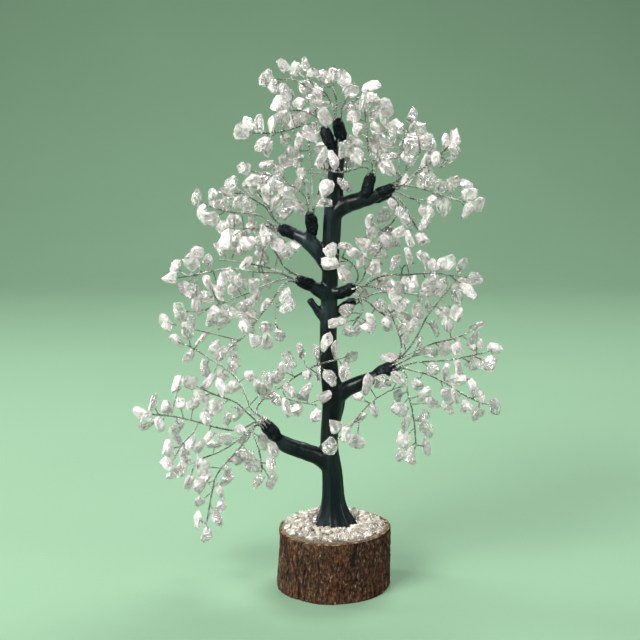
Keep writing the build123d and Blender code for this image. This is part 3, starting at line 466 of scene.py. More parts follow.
def square_to(way, vectors):
    """What is left of vectors once their part along a unit way is taken out."""
    return vectors - (vectors * way).sum(-1, keepdims=True) * way


def sides(line, steady):
    """Two directions at each point of a line, square to its slope and to each other, the first one towards the
    steady direction."""
    slope = unit(np.gradient(line, axis=0))
    side = unit(square_to(slope, np.broadcast_to(steady, line.shape)))
    return side, np.cross(slope, side)


def tube(line, radius, columns, steady):
    """A round skin about a line: each point of the line gets a circle of that radius, square to the line's slope,
    whose first point lies towards the steady direction."""
    side, other = sides(line, steady)
    turn = np.linspace(0, 2 * pi, columns, endpoint=False)[None, :, None]
    return line[:, None] + radius * (np.cos(turn) * side[:, None] + np.sin(turn) * other[:, None])


def run_along(line):
    """The distance from a line's first point to each of its points, along it."""
    return np.concatenate([[0], np.cumsum(np.linalg.norm(np.diff(line, axis=0), axis=1))])


def twisted(line, offset, pitch, steady, start=0.0):
    """The middle lines of two wires twisted about a line: a helix whose angle is the distance run, over the pitch,
    in full turns. Gives each wire's line and its direction away from the common line."""
    side, other = sides(line, steady)
    for share in (0, 0.5):
        angle = (start + 2 * pi * (run_along(line) / pitch + share))[:, None]
        away = np.cos(angle) * side + np.sin(angle) * other
        yield line + offset * away, away


print("tubes ready")

# %% [markdown]
# ## Stones, as flat cuts leave them
#
# A quartz chip starts as a broken splinter and is tumbled until its edges are soft. It could be a ball with
# noise, but then it has no flats. Here each stone is the shape that a few random flat cuts leave, with the cuts
# melted into one another: in each direction the surface lies where the sum of high powers of all cuts is one.
# Its mesh is coarse and shaded flat, so that each cell is one small flat.

# %% Stone surface
dice = np.random.default_rng(7)
cuts_a_stone = 7
softness = 22.0
axis_cuts = np.concatenate([np.eye(3), -np.eye(3)])


def directions(tilts, columns):
    """A grid of unit directions: a row for each angle from the upright, a column for each turn about it."""
    tilt, spin = np.meshgrid(tilts, np.linspace(0, 2 * pi, columns, endpoint=False), indexing="ij")
    return np.stack([np.sin(tilt) * np.cos(spin), np.sin(tilt) * np.sin(spin), np.cos(tilt)], axis=-1)


def random_cuts(count, lowest, highest):
    """The cuts of each stone and their heights: random ones, and one on each of six sides at the full size."""
    cuts = unit(dice.normal(size=(count, cuts_a_stone, 3)))
    cuts = np.concatenate([cuts, np.broadcast_to(axis_cuts, (count, *axis_cuts.shape))], axis=1)
    heights = dice.uniform(lowest, highest, (count, cuts_a_stone))
    return cuts, np.concatenate([heights, np.ones((count, len(axis_cuts)))], axis=1)


def melt(ways, cuts, heights):
    """Distance to the surface in each direction: one over the p-th root of the sum of (cosine to a cut, over its
    height) to the power p, over the cuts that face that way. Ways are (stones, directions, 3)."""
    facing = np.maximum(np.einsum("ndk,nck->ndc", ways, cuts), 0) / heights[:, None, :]
    return (facing ** softness).sum(axis=-1) ** (-1 / softness)


def unit_stones(grid, cuts, heights):
    """Every stone's skin in every direction of a grid, scaled to fill a box of half size one."""
    flat = np.broadcast_to(grid.reshape(-1, 3), (len(cuts), grid[..., 0].size, 3))
    skin = (flat * melt(flat, cuts, heights)[..., None]).reshape(len(cuts), *grid.shape)
    return skin / np.abs(skin).max(axis=(1, 2), keepdims=True)


def set_down(stones, ways, middle):
    """Stones turned from their own frames into the part's, and moved to their middles."""
    return middle[:, None, None] + np.einsum("nrca,nab->nrcb", stones, ways)


print("cuts a stone", cuts_a_stone + len(axis_cuts))

# %% [markdown]
# ## Chips on their wires
#
# A chip hangs on its twig, so its own frame is read from both: one way runs along the twig, the other two follow
# the chip's broad side. The drilled hole is real: the grid runs over the outside from one mouth to the other and
# back through the bore.

# %% Chip surface
bore_radius = 0.5 * mm
chip_columns = 9
chip_tilts = np.radians([20, 47, 76, 104, 133, 160])


def spray_chips(name):
    """The chips of a spray: middle, own frame, half sizes, cuts and their heights, twig's foot and tone."""
    chips, twigs = parts_of[name, "chips"], parts_of[name, "twigs"]
    middle, twig_middle = middles(*chips), middles(*twigs)
    along = main_ways(*twigs, twig_middle)[:, 0]
    along = along * np.sign(((middle - twig_middle) * along).sum(axis=1))[:, None]
    foot = twig_middle + reach(*twigs, twig_middle, along)[0][:, None] * along
    square = square_to(along[:, None], main_ways(*chips, middle))
    pick = np.argmax(np.linalg.norm(square, axis=-1), axis=1)
    side = unit(square[np.arange(len(pick)), pick])
    ways = np.stack([side, np.cross(along, side), along], axis=1)
    cuts, heights = random_cuts(len(pick), 0.56, 0.96)
    return {"middle": middle, "ways": ways, "sizes": half_sizes(*chips, middle, ways), "cuts": cuts,
            "heights": heights, "foot": foot, "off": np.abs(square_to(along, middle - foot)).max(),
            "tone": dice.uniform(0, 1, len(pick))}


def chip_grids(chips):
    """Each chip as rings from one mouth over the outside to the other, closed by the bore between the mouths."""
    skin = unit_stones(directions(chip_tilts, chip_columns), chips["cuts"], chips["heights"])
    skin = skin * chips["sizes"][:, None, None]
    mouth = directions([pi / 2], chip_columns)[0] * (1, 1, 0) * bore_radius
    top, foot = (mouth + np.array([0, 0, 1]) * skin[:, row, :, 2].mean(axis=1)[:, None, None] for row in (0, -1))
    rings = np.concatenate([top[:, None], skin, foot[:, None]], axis=1)[:, ::-1]
    return np.clip(set_down(rings, chips["ways"], chips["middle"]), *box_of_solids)


chips_of = {name: spray_chips(name) for name in sprays}
print("chips", sum(len(c["tone"]) for c in chips_of.values()),
      "farthest middle off its twig, mm", round(max(c["off"] for c in chips_of.values()) / mm, 2))

# %% [markdown]
# ## Quartz
#
# Rock crystal is clear, with milky veils and fine cracks that catch the light. Most chips in the photograph look
# white with a bright rim, and a few are clear enough to show what lies behind them. Glass alone would go grey, and
# milk alone would look like plastic, so each chip is a mix of both shaders, by its own tone, by veils of noise and
# by how far its skin turns away. That last share turns the skin milky where it faces away from the eye, which paints
# a bright rim on every stone: a painted highlight. Cracks are thin dark lines and flaws are brown specks. Small
# flats are finer than the mesh: each cell of a Voronoi pattern leans the normal its own way, so neighbouring flats
# mirror different parts of the room.

# %% Quartz finish
quartz_ior = 1.545


def leaning(board, features, lean):
    """The normal, leant over in each cell of a pattern by up to half of lean along each axis."""
    lean_way = board.node("ShaderNodeVectorMath", {"operation": "SUBTRACT"},
                          {0: board.cells(features, "F1", "Color"), 1: (0.5,) * 3})
    facing = board.node("ShaderNodeNewGeometry", output="Normal")
    leant = board.node("ShaderNodeVectorMath", {"operation": "MULTIPLY_ADD"},
                       {0: lean_way, 1: (lean,) * 3, 2: facing})
    return board.node("ShaderNodeVectorMath", {"operation": "NORMALIZE"}, {0: leant})


def quartz(name, clear_tint, milk_tint, milk_low, milk_high, lean, heart, flaws):
    """Clear crystal and milky crystal, mixed by veils of noise, by each stone's own tone and by a painted highlight
    that turns the skin milky where it faces away, from milk_low to milk_high. Between the veils the milk is darker
    by the factor heart, and flaws is the share of brown in its darkest specks."""
    board = Board(name)
    veil = board.noise(260, detail=5, roughness=0.65)
    crack = board.cells(300, "DISTANCE_TO_EDGE", "Distance")
    scuff = board.noise(1500, detail=2)
    skin = board.bump(scuff + veil * 0.6, 0.0004, 0.35, leaning(board, 270, lean))
    flaw = board.noise(750, detail=4, roughness=0.7)
    deep = [tint * heart for tint in milk_tint]
    pale = board.blend(board.spread(veil, 0.42, 0.6), deep, milk_tint)
    pale = board.blend(board.spread(flaw, 0.60, 0.72, 0.0, flaws), pale, (0.40, 0.36, 0.32))
    clear = board.principled(
        Base_Color=board.blend(board.spread(crack + flaw * 0.1, 0.05, 0.13), (0.34, 0.38, 0.35),
                               board.blend(veil, clear_tint, (1, 1, 1))),
        Roughness=board.spread(scuff, 0.35, 0.7, 0.0, 0.07),
        IOR=quartz_ior, Transmission_Weight=1.0, Normal=skin)
    milk = board.principled(
        Base_Color=board.blend(board.spread(crack, 0.0, 0.08), [tint * 0.85 for tint in deep], pale),
        Roughness=board.spread(scuff, 0.3, 0.7, 0.04, 0.16),
        IOR=quartz_ior, Transmission_Weight=0.3, Normal=skin)
    # Facing raises the milk share towards the silhouette: a painted bright rim, a painted highlight on every stone.
    rim = board.node("ShaderNodeLayerWeight", None, {"Blend": 0.35}, output="Facing")
    share = board.spread(veil * 1.2 + board.tally("tone") * 0.5 + rim * 0.5, 0.55, 1.35, milk_low, milk_high)
    return board.finish(board.node("ShaderNodeMixShader", None, {0: share, 1: clear, 2: milk}))


def finish_sprays(finish, *kinds):
    """Gives a finish to those pieces of every spray."""
    for name in sprays:
        for kind in kinds:
            bpy.data.objects[f"{name}_{kind}"].data.materials.append(finish)


chip_finish = quartz("tumbled_quartz", clear_tint=(1.0, 0.965, 0.955), milk_tint=(0.995, 0.94, 0.925),
                     milk_low=0.05, milk_high=0.84, lean=0.85, heart=0.82, flaws=0.8)
chip_faces = 0
for name in sprays:
    bundle = Bundle()
    for grid, tone in zip(chip_grids(chips_of[name]), chips_of[name]["tone"]):
        bundle.add(grid, ring=True, tone=tone)
    bundle.write(f"{name}_tumbled_chips", "clear_quartz", f"{name}_chips", smooth=False)
    chip_faces += len(bundle.faces)
finish_sprays(chip_finish, "tumbled_chips")
print("chip faces", chip_faces)

# %% [markdown]
# ## Twigs: one wire, folded through a stone and twisted with itself
#
# The maker threads a chip onto a thin wire, folds the wire back along the stone and twists the two halves
# together. A plain rod would hide that. Here each twig has two wires twisted about its middle line, and a loop
# that goes up through the bore, over the stone's end and back down its side, close to its real surface.

# %% Twig wires
strand_radius = 0.2 * mm
loop_radius = 0.17 * mm
twig_pitch = 2.8 * mm
samples_a_turn = 7
strand_columns = 6
# One on the inner side of each strand, where the wire's tint is painted nearly black as shade.
inner_side = 0.5 - 0.5 * np.cos(np.linspace(0, 2 * pi, strand_columns, endpoint=False))


def loop_line(chips, index, side):
    """The loop round one chip: straight through the bore, then round the outside, most of a wire's radius proud of
    it, on the side that is one or minus one, back to where it went in."""
    sizes = chips["sizes"][index]
    bearing = np.radians(np.linspace(14, 166, 13))
    outside = np.stack([0 * bearing, side * np.sin(bearing), np.cos(bearing)], axis=1)
    outside = outside * melt(outside[None], chips["cuts"][[index]], chips["heights"][[index]])[0][:, None] * sizes
    outside = outside * 0.97 + unit(outside) * loop_radius * 0.8
    outside[:, 2] = np.clip(outside[:, 2], -sizes[2] - 0.1 * mm, sizes[2] + 0.15 * mm)
    bore = np.linspace(-sizes[2] - 0.5 * mm, sizes[2] + 0.05 * mm, 6)[:, None] * (0, 0, 1)
    line = np.concatenate([bore, outside, [[0, 0, -sizes[2] - 0.55 * mm]]])
    return chips["middle"][index] + line @ chips["ways"][index]


def twig_bundle(chips):
    """All twigs of a spray in one mesh."""
    bundle = Bundle()
    for index, tone in enumerate(chips["tone"]):
        foot, middle = chips["foot"][index], chips["middle"][index]
        side_way, over_way, along = chips["ways"][index]
        mouth = middle - along * (chips["sizes"][index, 2] + 0.35 * mm)
        count = max(int(np.linalg.norm(mouth - foot) / twig_pitch * samples_a_turn), 4)
        line = foot + np.linspace(0, 1, count)[:, None] * (mouth - foot)
        for wire, away in twisted(line, strand_radius, twig_pitch, side_way, tone * 6):
            bundle.add(tube(wire, strand_radius, strand_columns, away), crevice=inner_side)
        inward = np.sign((-middle * (1, 1, 0) - (0, 0, 0.05)) @ over_way)
        loop = tube(loop_line(chips, index, inward), loop_radius, strand_columns, side_way)
        bundle.add(np.clip(loop, *box_of_solids), crevice=0.0)
    return bundle


twigs_of = {name: twig_bundle(chips_of[name]) for name in sprays}
print("twig faces", sum(len(bundle.faces) for bundle in twigs_of.values()))

# %% [markdown]
# ## Stems: the twist that the twigs come out of
#
# Each stem is two wires twisted as one. Its path bends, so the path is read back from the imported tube: a point
# of the tube's skin, moved inward by the radius along its normal, lands on the middle line. The order along the
# line comes from the shortest way over the skin's edges from one end, found for all points at once by letting
# every edge pass its distance on until nothing changes.

# %% Stem paths
stem_step = 0.4 * mm


def skin_normals(node):
    """Places and normals of every triangle corner of a node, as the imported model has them."""
    mesh = nodes[node].data
    places = read(mesh.vertices, "co")[read(mesh.loops, "vertex_index", 1, np.int32)[:, 0]]
    normals = read(mesh.corner_normals, "vector")
    return places.reshape(-1, 3, 3).astype(float), normals.reshape(-1, 3, 3).astype(float)


def distances(points, triangles, start):
    """Shortest way over the edges from the start point to each other point."""
    edges = np.concatenate([triangles[:, [0, 1]], triangles[:, [1, 2]], triangles[:, [2, 0]]])
    edges = np.concatenate([edges, edges[:, ::-1]])
    length = np.linalg.norm(points[edges[:, 0]] - points[edges[:, 1]], axis=1)
    best = np.full(len(points), np.inf)
    best[start] = 0
    while True:
        new = best.copy()
        np.minimum.at(new, edges[:, 1], best[edges[:, 0]] + length)
        if np.allclose(new, best, atol=1e-9):
            return best
        best = new


def middle_line(points, triangles, places, normals):
    """Evenly spaced points on the middle line of one tube, and the tube's radius: twice its volume over its area.
    Places nearer than 0.06 mm are one place, and steps under 0.12 mm are left out."""
    corner = points[triangles]
    cross = face_crosses(corner)
    radius = 2 * abs((corner[:, 0] * cross).sum() / 6) / (np.linalg.norm(cross, axis=1).sum() / 2)
    used, place = np.unique(triangles, return_inverse=True)
    own, small = points[used], place.reshape(-1, 3)
    end = int(np.argmax(np.linalg.norm(own - own.mean(axis=0), axis=1)))
    round_side = np.abs(normals - normals[:, :1]).max(axis=(1, 2)) >= 1e-3
    inner = (places - radius * normals)[round_side].reshape(-1, 3)
    along = distances(own, small, end)[small][round_side].reshape(-1)
    where = np.unique(np.round(inner / (0.06 * mm)).astype(np.int64), axis=0, return_inverse=True)[1].reshape(-1)
    many = np.bincount(where)
    mean = sums(where, inner, len(many)) / many[:, None]
    mean = mean[np.argsort(np.bincount(where, along) / many)]
    gap = np.linalg.norm(np.diff(mean, axis=0), axis=1)
    mean = mean[np.concatenate([[True], gap > 0.12 * mm])]
    run = run_along(mean)
    even = np.linspace(0, run[-1], max(int(run[-1] / stem_step), 4))
    return np.stack([np.interp(even, run, mean[:, axis]) for axis in range(3)], axis=1), radius


def smoothed(line, rounds):
    """A line whose inner points are drawn towards the middle of their neighbours, its ends held."""
    line = line.copy()
    for turn in range(rounds):
        line[1:-1] = 0.5 * line[1:-1] + 0.25 * (line[:-2] + line[2:])
    return line


stem_lines = {}
for name in sprays:
    points, triangles, label, count = parts_of[name, "stems"]
    places, normals = skin_normals(f"{name}_stems")
    stem_lines[name] = [middle_line(points, triangles[label == piece], places[label == piece],
                                    normals[label == piece]) for piece in range(count)]
every_stem = [stem for lines in stem_lines.values() for stem in lines]
print("stems", len(every_stem), "longest, mm", round(max(len(line) for line, radius in every_stem) * stem_step / mm),
      "radii, mm", sorted({round(radius / mm, 2) for line, radius in every_stem}))

# %% [markdown]
# ## Twisting the stems
#
# Two round wires fill a round tube from side to side when each has half of its radius, and their middles lie half
# of it out. That is the pair used here, with one turn in about three millimetres, as tight as the photograph's.

# %% Stem wires
wire_share = 0.5
stem_pitch = 3.2 * mm
stem_faces = 0
for name in sprays:
    bundle = Bundle()
    for line, radius in stem_lines[name]:
        line = smoothed(line, 3)
        flattest_way = np.linalg.svd(line - line.mean(axis=0), full_matrices=False)[2][2]
        for wire, away in twisted(line, radius * (1 - wire_share), stem_pitch, flattest_way):
            bundle.add(tube(wire, radius * wire_share, strand_columns, away), crevice=inner_side)
    bundle.write(f"{name}_twisted_stems", "silver_wire", f"{name}_stems")
    twigs_of[name].write(f"{name}_twisted_twigs", "silver_wire", f"{name}_twigs")
    stem_faces += len(bundle.faces)
print("stem faces", stem_faces)

# %% [markdown]
# ## Silver craft wire
#
# Craft wire is plated steel or aluminium: bright where it is new, dull grey where it was bent and handled. Metal
# has no colour of its own apart from its reflections, so its tint changes from bright to dull in spots of a few
# millimetres, and its roughness changes with it. Where two strands touch, the tint is painted nearly black: painted
# shade between the strands. Each strand's mesh carries a number that is one on its inner side and nothing
# outside, and this painted shade darkens the tint with it.

# %% Wire finish
board = Board("silver_wire")
dull = board.noise(90)
drawn = board.noise(2200, detail=2)
spots = board.noise(520, detail=2)
bright = board.ramp(dull * 0.45 + spots * 0.55, [(0.36, (0.13, 0.118, 0.10)), (0.5, (0.46, 0.44, 0.41)),
                                                 (0.62, (0.95, 0.93, 0.90))])
wire_finish = board.finish(board.principled(
    # The inner sides of the strands are painted nearly black here: painted shade where the strands touch.
    Base_Color=board.blend(board.spread(board.tally("crevice"), 0.1, 0.65), bright, (0.02, 0.018, 0.015)),
    Metallic=1.0,
    Roughness=board.spread(dull + drawn * 0.3, 0.4, 0.9, 0.20, 0.36),
    Normal=board.bump(drawn, 0.00004, 0.4),
))
finish_sprays(wire_finish, "twisted_stems", "twisted_twigs")

# %% [markdown]
# ## The trunk
#
# The trunk is cast resin: limbs that run smoothly into one another, soft lengthwise ridges, and roots that spread
# at the foot. The solids meet in sharp creases. A voxel remesh turns them into one even skin, smoothing melts
# the creases, and then every point moves a little along its normal by noise that is long and narrow, like bark.

# %% Smooth noise in space
def lattice_noise(points, cell, seed):
    """Noise from -1 to 1: a random number at each corner of a grid of cells, blended smoothly inside each cell.
    The random number is the corner's whole-number place, stirred by large primes."""
    where = points / np.asarray(cell)
    base = np.floor(where).astype(np.int64)
    part = where - base
    part = part * part * (3 - 2 * part)
    total = np.zeros(points.shape[:-1])
    for corner in range(8):
        step = np.array([corner & 1, corner >> 1 & 1, corner >> 2 & 1])
        mixed = (base + step) @ np.array([73856093, 19349663, 83492791]) + seed * 2654435761
        mixed = (mixed ^ (mixed >> 13)) * 1274126177 & 0x7FFFFFFF
        mixed = (mixed ^ (mixed >> 16)) & 0xFFFF
        total += np.where(step == 1, part, 1 - part).prod(axis=-1) * (mixed / 32767.5 - 1)
    return total


def applied(piece, kind, **settings):
    """Adds one modifier and applies it at once, which leaves a plain mesh."""
    modifier = piece.modifiers.new(kind.lower(), kind)
    for key, value in settings.items():
        setattr(modifier, key, value)
    bpy.context.view_layer.update()
    mesh = bpy.data.meshes.new_from_object(piece.evaluated_get(bpy.context.evaluated_depsgraph_get()))
    piece.modifiers.clear()
    piece.data = mesh


points, triangles = merged("trunk")
mesh = bpy.data.meshes.new("cast_trunk")
mesh.from_pydata(points, [], triangles.tolist())
trunk = placed("cast_trunk", mesh)
applied(trunk, "REMESH", mode="VOXEL", voxel_size=0.55 * mm, use_smooth_shade=True)
applied(trunk, "SMOOTH", factor=0.5, iterations=6)
print("trunk faces", len(trunk.data.polygons))

# %% Ridges on the trunk
ridge_height = 0.28 * mm
ridge_sink = 0.12 * mm
smooth_foot = 30 * mm
places = read(trunk.data.vertices, "co").astype(float)
normals = read(trunk.data.vertex_normals, "vector").astype(float)
long_ridge = lattice_noise(places, (3.2 * mm, 3.2 * mm, 26 * mm), 3)
fine_ridge = lattice_noise(places, (1.4 * mm, 1.4 * mm, 9 * mm), 5)
lump = lattice_noise(places, (9 * mm, 9 * mm, 14 * mm), 9)
ridge = 0.6 * long_ridge + 0.25 * fine_ridge + 0.5 * lump
above_foot = np.clip((places[:, 2] - smooth_foot) / (6 * mm), 0, 1)
moved = places + normals * ((ridge * ridge_height - ridge_sink) * above_foot)[:, None]
moved = np.clip(moved, *np.array(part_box("trunk")))
trunk.data.vertices.foreach_set("co", moved.astype(np.float32).ravel())
# The resin's colour reads this mark to paint highlight streaks on the ridge tops.
mark(trunk.data, "ridge", ridge * 0.5 + 0.5)
trunk.data.update()
stands_for(trunk, "trunk")
print("ridge height, mm", round(float(np.ptp(ridge)) * ridge_height / mm, 2))

# %% [markdown]
# ## Painted resin
#
# The resin is a deep green-black with a satin coat. The ridges are painted a touch paler and bluer than the
# hollows, up to light streaks on their tops: a painted highlight along the ridges. The tone follows the ridges that
# the mesh carries, and a fine long grain is left to bump, because it is finer than the mesh.

# %% Resin finish
board = Board("teal_black_resin")
grain = board.noise(700, 700, 90, detail=4)
patch = board.noise(60, 60, 25)
# The ridge mark paints the ridge tops paler and bluer as light streaks: a painted highlight.
tone = board.tally("ridge") * 0.7 + grain * 0.3
trunk_finish = board.finish(board.principled(
    Base_Color=board.ramp(tone, [(0.30, (0.0002, 0.0022, 0.0024)), (0.52, (0.0008, 0.0052, 0.0056)),
                                 (0.72, (0.0075, 0.0175, 0.0190)), (0.86, (0.030, 0.048, 0.052))]),
    Roughness=board.spread(patch + grain * 0.25, 0.35, 0.8, 0.36, 0.52),
    Coat_Weight=board.spread(patch, 0.3, 0.7, 0.06, 0.32),
    Coat_Roughness=0.16,
    Specular_IOR_Level=0.12,
    Normal=board.bump(grain + patch * 0.4, 0.0005, 0.6),
))
trunk.data.materials.append(trunk_finish)

# %% [markdown]
# ## Painted bindings
#
# Each spray is tied to its stub by a wound wire, and the maker then brushes resin over the winding, so the stub's
# end looks dark and knotted and closes round the stems. The bare coil could be left showing, but the photograph
# has none. The sleeve here is a profile turned about the coil's axis: it grows out of the limb, covers the
# winding, keeps a soft ridge for each turn, as a cosine that climbs one pitch a turn, and tapers towards the stems
# until it closes.

# %% Sleeves over the windings
sleeve_columns, sleeve_rows = 40, 56
wound_turns = 4
knot_side = np.array([-1, -1, -1, 0, 1, 1, 1, 1])
knot_gap = np.array([-7.0, -4.6, -2.2, 0, -0.6, 0.5, 1.0, 1.2]) * mm
knot_girth = np.array([0.60, 0.88, 0.99, 0.95, 0.80, 0.62, 0.36, 0.02])


def winding(name):
    """Middle, axis towards the stems, half length and radius of a spray's winding."""
    coil = as_one(*merged(f"{name}_binding"))
    middle = middles(*coil)
    axis = main_ways(*coil, middle)[0, 2]
    to_stems = middles(*as_one(*parts_of[name, "stems"][:2])) - middle
    axis = axis * np.sign(float(to_stems[0] @ axis))
    away = coil[0] - middle
    along = away @ axis
    radius = float(np.linalg.norm(square_to(axis, away), axis=1).max())
    return middle[0] + axis * (along.min() + along.max()) / 2, axis, float(np.ptp(along)) / 2, radius


def sleeve(name):
    """The sleeve's grid. Its radius is the profile times 0.91, with a little of the ridge and of the lumps added.
    The profile's knots lie behind the winding's back end, at its middle and about its front end."""
    middle, axis, half, wound_radius = winding(name)
    share, knots = np.linspace(0, 1, sleeve_rows), np.linspace(0, 1, len(knot_girth))
    place = np.interp(share, knots, knot_side * half + knot_gap)[:, None]
    girth = smoothed(np.interp(share, knots, knot_girth * wound_radius)[:, None], 4)
    turn = np.linspace(0, 2 * pi, sleeve_columns, endpoint=False)
    side = unit(np.cross(axis, (0, 1, 0.1)))
    ring = np.cos(turn)[:, None] * side + np.sin(turn)[:, None] * np.cross(axis, side)
    ridge = np.cos(2 * pi * place / (2 * half / wound_turns) - turn) * (np.abs(place) < half)
    spine = middle + place[..., None] * axis
    plain = spine + girth[..., None] * ring
    lump = lattice_noise(plain, 2.6 * mm, 51) + 0.6 * lattice_noise(plain, 1.1 * mm, 52)
    return spine + (girth * (1 + 0.03 * ridge + 0.13 * lump - 0.09))[..., None] * ring


for name in sprays:
    bundle = Bundle()
    bundle.add(sleeve(name))
    bundle.write(f"{name}_painted_sleeve", "trunk_resin", f"{name}_binding")
print("sleeves", len(sprays))

# %% [markdown]
# ## Brushed resin
#
# Brushed resin is thicker in the hollows and thinner on the turns, so it shines unevenly and shows specks of the
# metal under it. It is the trunk's own colour.

# %% Sleeve finish
board = Board("brushed_resin")
worn = board.noise(900, detail=4, roughness=0.65)
run = board.noise(300)
sleeve_finish = board.finish(board.principled(
    Base_Color=board.ramp(worn, [(0.35, (0.0003, 0.0018, 0.0021)), (0.64, (0.0024, 0.0072, 0.0080)),
                                 (0.72, (0.12, 0.13, 0.128))]),
    Metallic=board.spread(worn, 0.66, 0.72),
    Roughness=board.spread(run, 0.3, 0.7, 0.34, 0.56),
    Specular_IOR_Level=0.1,
    Normal=board.bump(run + worn * 0.5, 0.0006, 0.7),
))
finish_sprays(sleeve_finish, "painted_sleeve")

# %% [markdown]
# ## Bark
#
# The bark is a ring of dry, fissured plates, pale where the saw cut its rim. A plain ring with a bark picture
# would have a smooth outline. Here the ring is one closed grid: up the outer wall, in over the rim, down the
# inner wall and back underneath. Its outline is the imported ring's, averaged near each angle and height, and the
# cracks only ever go inward from it, so the log keeps its measured width.

# %% Bark surface
points, triangles = merged("bark_ring")
radius = np.hypot(points[:, 0], points[:, 1])
bearing = np.arctan2(points[:, 1], points[:, 0])
inner_radius = float(radius.min())
outer = radius > inner_radius + 0.4 * mm
bark_columns, wall_rows = 620, 84
turn = np.linspace(-pi, pi, bark_columns, endpoint=False)


def apart(angle):
    """The angle between each of the ring's points and one direction, the shorter way round."""
    return np.abs((bearing - angle + pi) % (2 * pi) - pi)


def wall_at(height):
    """The wall's radius at one height and every column: the mean over the ring's outer points, each weighted by a
    bell curve of how far it lies round the ring and how far up."""
    around = (apart(turn[:, None]) * radius)[:, outer]
    weight = np.exp(-((around / (0.9 * mm)) ** 2) - ((points[outer, 2] - height) / (2.2 * mm)) ** 2)
    return (weight * radius[outer]).sum(axis=1) / weight.sum(axis=1)


levels = np.linspace(0.5 * mm, 31.5 * mm, 8)
walls = np.stack([wall_at(level) for level in levels])
rim_places = np.linspace(-pi, pi, 61)
rim_height = np.interp(turn, rim_places, [points[outer & (apart(angle) < 0.06), 2].max() for angle in rim_places])
height = np.linspace(0, 1, wall_rows)[:, None] * rim_height
place = np.clip((height - levels[0]) / (levels[1] - levels[0]), 0, len(levels) - 1.001)
under = place.astype(int)
column = np.arange(bark_columns)
wall = walls[under, column] * (1 - place + under) + walls[under + 1, column] * (place - under)
print("wall radius, mm", round(wall.min() / mm, 2), round(wall.max() / mm, 2))

# %% Cracks and plates
def round_log(radius, height):
    """A point at each column's angle, with that radius and height."""
    return np.stack(np.broadcast_arrays(radius * np.cos(turn), radius * np.sin(turn), height), axis=-1)


def opened(noise, shut, power):
    """How open a crack is, from 0 to 1, about the line where the noise is zero: one less the noise's size,
    stretched from shut to one, to a power that narrows it."""
    return np.clip((1 - np.abs(noise) - shut) / (1 - shut), 0, 1) ** power


skin = round_log(wall, height)
bent = skin + np.stack([lattice_noise(skin, 7 * mm, 21 + axis) for axis in range(3)], axis=-1) * 1.1 * mm
furrow = opened(lattice_noise(bent, (1.7 * mm, 1.7 * mm, 15 * mm), 31), 0.66, 1.6)
split = opened(lattice_noise(bent, (0.9 * mm, 0.9 * mm, 5 * mm), 32), 0.5, 1.3)
cross = opened(lattice_noise(bent, (3.4 * mm, 3.4 * mm, 2.2 * mm), 33), 0.78, 1.4)
broken = lattice_noise(skin, (4 * mm, 4 * mm, 7 * mm), 36) * 0.5 + 0.5
grain = lattice_noise(skin, (0.45 * mm, 0.45 * mm, 1.6 * mm), 34) * 0.5 + 0.5
lumps = lattice_noise(skin, (5 * mm, 5 * mm, 9 * mm), 35) * 0.5 + 0.5
depth = mm * (0.7 * furrow * (0.25 + 0.75 * broken) + 0.35 * split + 0.3 * cross * (1 - broken)
              + 0.28 * grain + 0.4 * lumps)
lower_edge = np.clip(height / (0.6 * mm), 0, 1)
thinned = wall - depth - (1 - lower_edge) * 0.25 * mm
print("deepest crack, mm", round(float(depth.max()) / mm, 2))

# %% The ring of bark
outer_wall = round_log(thinned, height)
inward = np.linspace(0, 1, 9)[1:, None]
rim_radius = thinned[-1] * (1 - inward) + inner_radius * inward
rim_level = rim_height + 0.12 * mm * (lattice_noise(round_log(rim_radius, 0), 0.7 * mm, 41) - 1)
rim_level[-1] = rim_height
rim = round_log(rim_radius, rim_level)
inner_wall = round_log(inner_radius, rim_height * np.array([[0.66], [0.33], [0.0]]))
under_side = 0.5 * (inner_wall[-1:] + outer_wall[:1])
strips = (outer_wall, rim, inner_wall, under_side)
grid = np.concatenate(strips)
# Crack depth, which the bark's colour uses to paint shade into the cracks.
crack_shade_mark = np.pad(np.clip(depth / (1.2 * mm), 0, 1), ((0, len(grid) - wall_rows), (0, 0)))
cut_mark = np.repeat([0, 1, 0.6, 0.6], [len(strip) for strip in strips])[:, None]
bundle = Bundle()
bundle.add(grid, ring=True, crack=crack_shade_mark, cut=cut_mark)
bark = bundle.write("fissured_bark", "bark", "bark_ring")
print("bark faces", len(bark.data.polygons))

# %% [markdown]
# ## Bark finish
#
# Old bark is grey-brown on its plates and red-brown on its flanks, with paler flecks where a flake broke off. The
# cut rim is tan, with a thin dark line at its outer edge. The colour is a ramp of noise at three scales. The cracks
# are painted nearly black by the depth that the mesh carries: painted shade in the cracks.

# %% Bark material
board = Board("dry_bark")
patch = board.noise(110, 110, 60, detail=4, roughness=0.6)
streak = board.noise(850, 850, 430, detail=6, roughness=0.72)
fleck = board.noise(420, 420, 170, roughness=0.6)
plate = board.ramp(streak, [(0.36, (0.009, 0.0045, 0.003)), (0.52, (0.045, 0.024, 0.014)),
                            (0.68, (0.17, 0.105, 0.066))])
warm = board.ramp(streak, [(0.36, (0.012, 0.0045, 0.0025)), (0.52, (0.075, 0.031, 0.016)),
                           (0.70, (0.21, 0.105, 0.058))])
mottled = board.blend(board.spread(patch, 0.42, 0.6), plate, warm)
flecked = board.blend(board.spread(fleck, 0.64, 0.70), mottled, (0.24, 0.17, 0.11))
